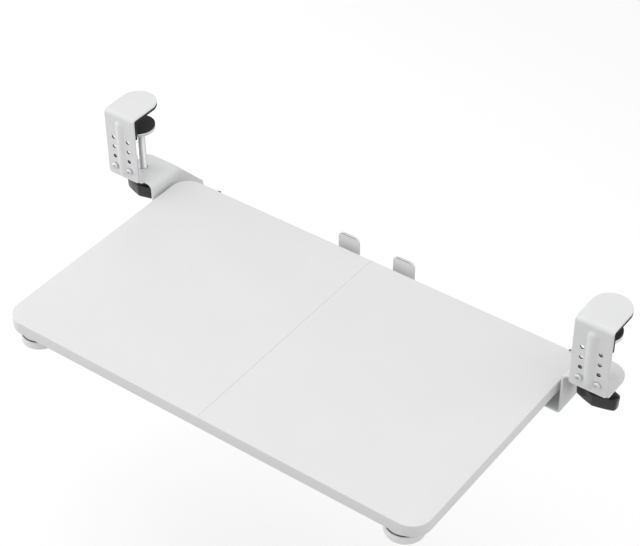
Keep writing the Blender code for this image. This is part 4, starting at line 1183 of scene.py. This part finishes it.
# Pucks under the front corners, on their spacers
puck = dict(upperRound=0.0006, lowerRound=0.0018, hole=0.0019, recess=0.0031, recessDepth=0.0046,
            recessRound=0.0004, grooveRadius=0.0105, grooveWidth=0.0008, grooveFloor=0.6, grooveDepth=0.0005,
            soft=0.0002, shadeRing=0.0154, shadeRingSlope=0.9, steps=72)
spacer = dict(upperRound=0.0004, lowerRound=0.0003, taper=0.0015, neckInset=0.0026, neckHeight=0.0006)


def stopPuck(label, name):
    node = f"stop_puck_{name}"
    low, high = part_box(node)
    radius, height, hole, soft = (high.x - low.x) / 2, high.z - low.z, puck["hole"], puck["soft"]
    groove, wide, deep = puck["grooveRadius"], puck["grooveWidth"], puck["grooveDepth"]
    floor, depth = wide * puck["grooveFloor"], puck["recessDepth"]
    profile = softCorners([
        (hole, height, 0), (puck["shadeRing"], height, 0), (radius, height, puck["upperRound"]),
        (radius, 0, puck["lowerRound"]), (groove + wide, 0, soft), (groove + floor, deep, soft),
        (groove - floor, deep, soft), (groove - wide, 0, soft), (puck["recess"], 0, puck["recessRound"]),
        (puck["recess"], depth, soft), (hole, depth, 0)])
    piece = turnedPiece("stopPuck" + label, upright(node, low.z), profile, puck["steps"], closed=True)
    fit(piece, "tray", "white_nylon", node)
    axis = middle(node).xy

    def shadeRing(center, normal):
        # ring on the puck's upper face, painted dark grey as the shade under the spacer
        inside = (center.xy - axis).length < puck["shadeRing"]
        return inside and center.z > high.z - faceGap and normal.z > puck["shadeRingSlope"]

    # dark grey painted shade on the puck's upper face
    refinish(piece, paintedShadeRing, shadeRing)


def puckSpacer(label, name):
    node = f"puck_spacer_{name}"
    low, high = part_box(node)
    radius, height, neck = (high.x - low.x) / 2, high.z - low.z, spacer["neckHeight"]
    waist, hole = radius - spacer["neckInset"], puck["hole"]
    profile = softCorners([
        (hole, height, 0), (radius, height, spacer["upperRound"]),
        (radius - spacer["taper"], neck, spacer["lowerRound"]), (waist, neck, 0), (waist, 0, 0),
        (hole, 0, 0)])
    piece = turnedPiece("puckSpacer" + label, upright(node, low.z), profile, puck["steps"], closed=True)
    fit(piece, "tray", "white_nylon", node)


for label, name, side in sides:
    stopPuck(label, name)
    puckSpacer(label, name)
print("pucks done")


# Joining plate under the seam, with two turned-up stop tabs at the rear, and the seam's dowels
join = dict(corner=0.006, cornerSteps=8, tabSpacing=0.058, tabWidth=0.0224, tabCorner=0.0045, tabBend=0.002,
            rim=0.0006, screwHole=0.0019, chamfer=0.00025, tabColumns=12, bendRows=10, riseRows=8,
            cornerRows=10)
dowel = dict(flutes=14, fluteSteps=6, fluteDepth=0.00022, chamfer=0.0007, smooth=32)


def joiningPlate():
    low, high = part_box("joining_plate")
    half, corner = (high.x - low.x) / 2, join["corner"]
    level, rear = low.z + halfSheet, boardHigh.y
    bend = join["tabBend"] + halfSheet
    tabY = high.y - halfSheet
    tabHalf, tabCorner = join["tabWidth"] / 2, join["tabCorner"]
    straight = high.z - tabCorner
    centers = (-join["tabSpacing"] / 2, join["tabSpacing"] / 2)
    shares = [2 * i / join["tabColumns"] - 1 for i in range(join["tabColumns"] + 1)]
    form = bmesh.new()
    rearPoints = [(center + tabHalf * s, rear, 0) for center in centers[::-1] for s in shares[::-1]]
    outline = softCorners([(-half, low.y, corner), (half, low.y, corner), (half, rear, corner), *rearPoints,
                           (-half, rear, corner)], join["cornerSteps"])
    form.faces.new([form.verts.new((x, y, level)) for x, y in outline])
    # a tab's path from the plate's rear edge, as (y, z, share of its width)
    turn = arcPoints((tabY - bend, level + bend), bend, -math.pi / 2, 0, join["bendRows"])[1:]
    path = [(rear, level, 1), (tabY - bend, level, 1)] + [(y, z, 1) for y, z in turn]
    path += [(tabY, z, 1) for z in spread(level + bend, straight, join["riseRows"])[1:]]
    for a in quarterTurn(join["cornerRows"])[1:]:
        width = (tabHalf - tabCorner * (1 - math.cos(a))) / tabHalf
        path.append((tabY, straight + tabCorner * math.sin(a), width))
    for center in centers:
        sheetLoft(form, [[(center + tabHalf * width * s, y, z) for s in shares] for y, z, width in path])
    bmesh.ops.remove_doubles(form, verts=form.verts, dist=mergeDistance)
    piece = thicken(addPiece("joiningPlate", form), sheetThickness, join["rim"])
    spots = [middle(f"joining_screw_{number}").xy for number in range(1, 7)]
    drillHoles(piece, [((x, y, low.z), (x, y, low.z + sheetThickness), join["screwHole"], join["chamfer"])
                       for x, y in spots])
    fit(piece, "tray", "white_steel", "joining_plate")


def seamDowel(number):
    node = f"joint_dowel_{number}"
    low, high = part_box(node)
    half, radius = (high.x - low.x) / 2, (high.z - low.z) / 2
    cut, count = dowel["chamfer"], dowel["flutes"] * dowel["fluteSteps"]
    rings = []
    for size, height in ((radius - cut, -half), (radius, cut - half), (radius, half - cut),
                         (radius - cut, half)):
        ring = []
        for i in range(count):
            a = math.tau * i / count
            r = size - dowel["fluteDepth"] * (0.5 + 0.5 * math.cos(dowel["flutes"] * a))
            ring.append((r * math.cos(a), r * math.sin(a), height))
        rings.append(ring)
    piece = loftPiece(f"seamDowel{number}", onAxle(node), rings, dowel["smooth"])
    fit(piece, "tray", "beech", node)


joiningPlate()
for number in (1, 2, 3):
    seamDowel(number)
print("joining plate and dowels done")


# Floor, world and lamps
stageLook = dict(floorDrop=0.30, floorSize=24.0, floorColor=(0.58, 0.58, 0.58), floorRoughness=0.9,
                 floorShine=0.1, floorGlow=0.46, worldLight=0.54)
lamps = dict(overhead=dict(place=(0.1, -0.1, 1.75), size=2.0, power=15.0),
             leftBox=dict(place=(-1.70, -0.2, 0.22), size=1.1, power=11.0),
             frontLeft=dict(place=(-0.8, -1.45, 0.6), size=2.0, power=6.4),
             rightFill=dict(place=(1.65, 0.2, 0.55), size=2.0, power=6.0))
white = (1, 1, 1, 1)


def seenDirectly(tree):
    # 1 for rays from the camera, off gloss or through glass, else 0
    path = addNode(tree, "LightPath").outputs
    seen = calc(tree, "MAXIMUM", path["Is Camera Ray"], path["Is Glossy Ray"])
    return calc(tree, "MAXIMUM", seen, path["Is Transmission Ray"])


def makeFloor():
    form = bmesh.new()
    bmesh.ops.create_grid(form, x_segments=2, y_segments=2, size=stageLook["floorSize"] / 2)
    bmesh.ops.translate(form, verts=form.verts, vec=(0, 0, cadLow.z - stageLook["floorDrop"]))
    floor = addPiece("studioFloor", form)
    if floor.data.polygons[0].normal.z < 0:
        floor.data.flip_normals()
    material, tree, shader = newMaterial("studioFloor")
    # a little glow for the camera alone makes it white without lighting the object
    glow = calc(tree, "MULTIPLY", seenDirectly(tree), stageLook["floorGlow"])
    feed(tree, shader, Base_Color=opaque(stageLook["floorColor"]), Roughness=stageLook["floorRoughness"],
         Specular_IOR_Level=stageLook["floorShine"], Emission_Color=white, Emission_Strength=glow)
    # clear from below, so that views from there see the object
    either = addNode(tree, "MixShader")
    tree.links.new(addNode(tree, "NewGeometry").outputs["Backfacing"], either.inputs[0])
    tree.links.new(shader.outputs[0], either.inputs[1])
    tree.links.new(addNode(tree, "BsdfTransparent").outputs[0], either.inputs[2])
    tree.links.new(either.outputs[0], tree.nodes["Material Output"].inputs["Surface"])
    floor.data.materials.append(material)


def makeWorld():
    world = bpy.data.worlds.new("studioWorld")
    scene.world = world
    world.use_nodes = True
    tree = world.node_tree
    plain = stageLook["worldLight"]
    rise = calc(tree, "MULTIPLY", seenDirectly(tree), 1 - plain)
    feed(tree, tree.nodes["Background"], Color=white, Strength=calc(tree, "ADD", rise, plain))


def makeLamp(name, look):
    light = bpy.data.lights.new(name, "AREA")
    light.size = look["size"]
    light.energy = look["power"]
    lamp = bpy.data.objects.new(name, light)
    lamp.location = look["place"]
    lamp.rotation_mode = "QUATERNION"
    lamp.rotation_quaternion = (-Vector(look["place"])).to_track_quat("-Z", "Y")
    scene.collection.objects.link(lamp)


makeFloor()
makeWorld()
for name, look in lamps.items():
    makeLamp(name, look)
scene.view_settings.view_transform = "Standard"
print("stage ready")
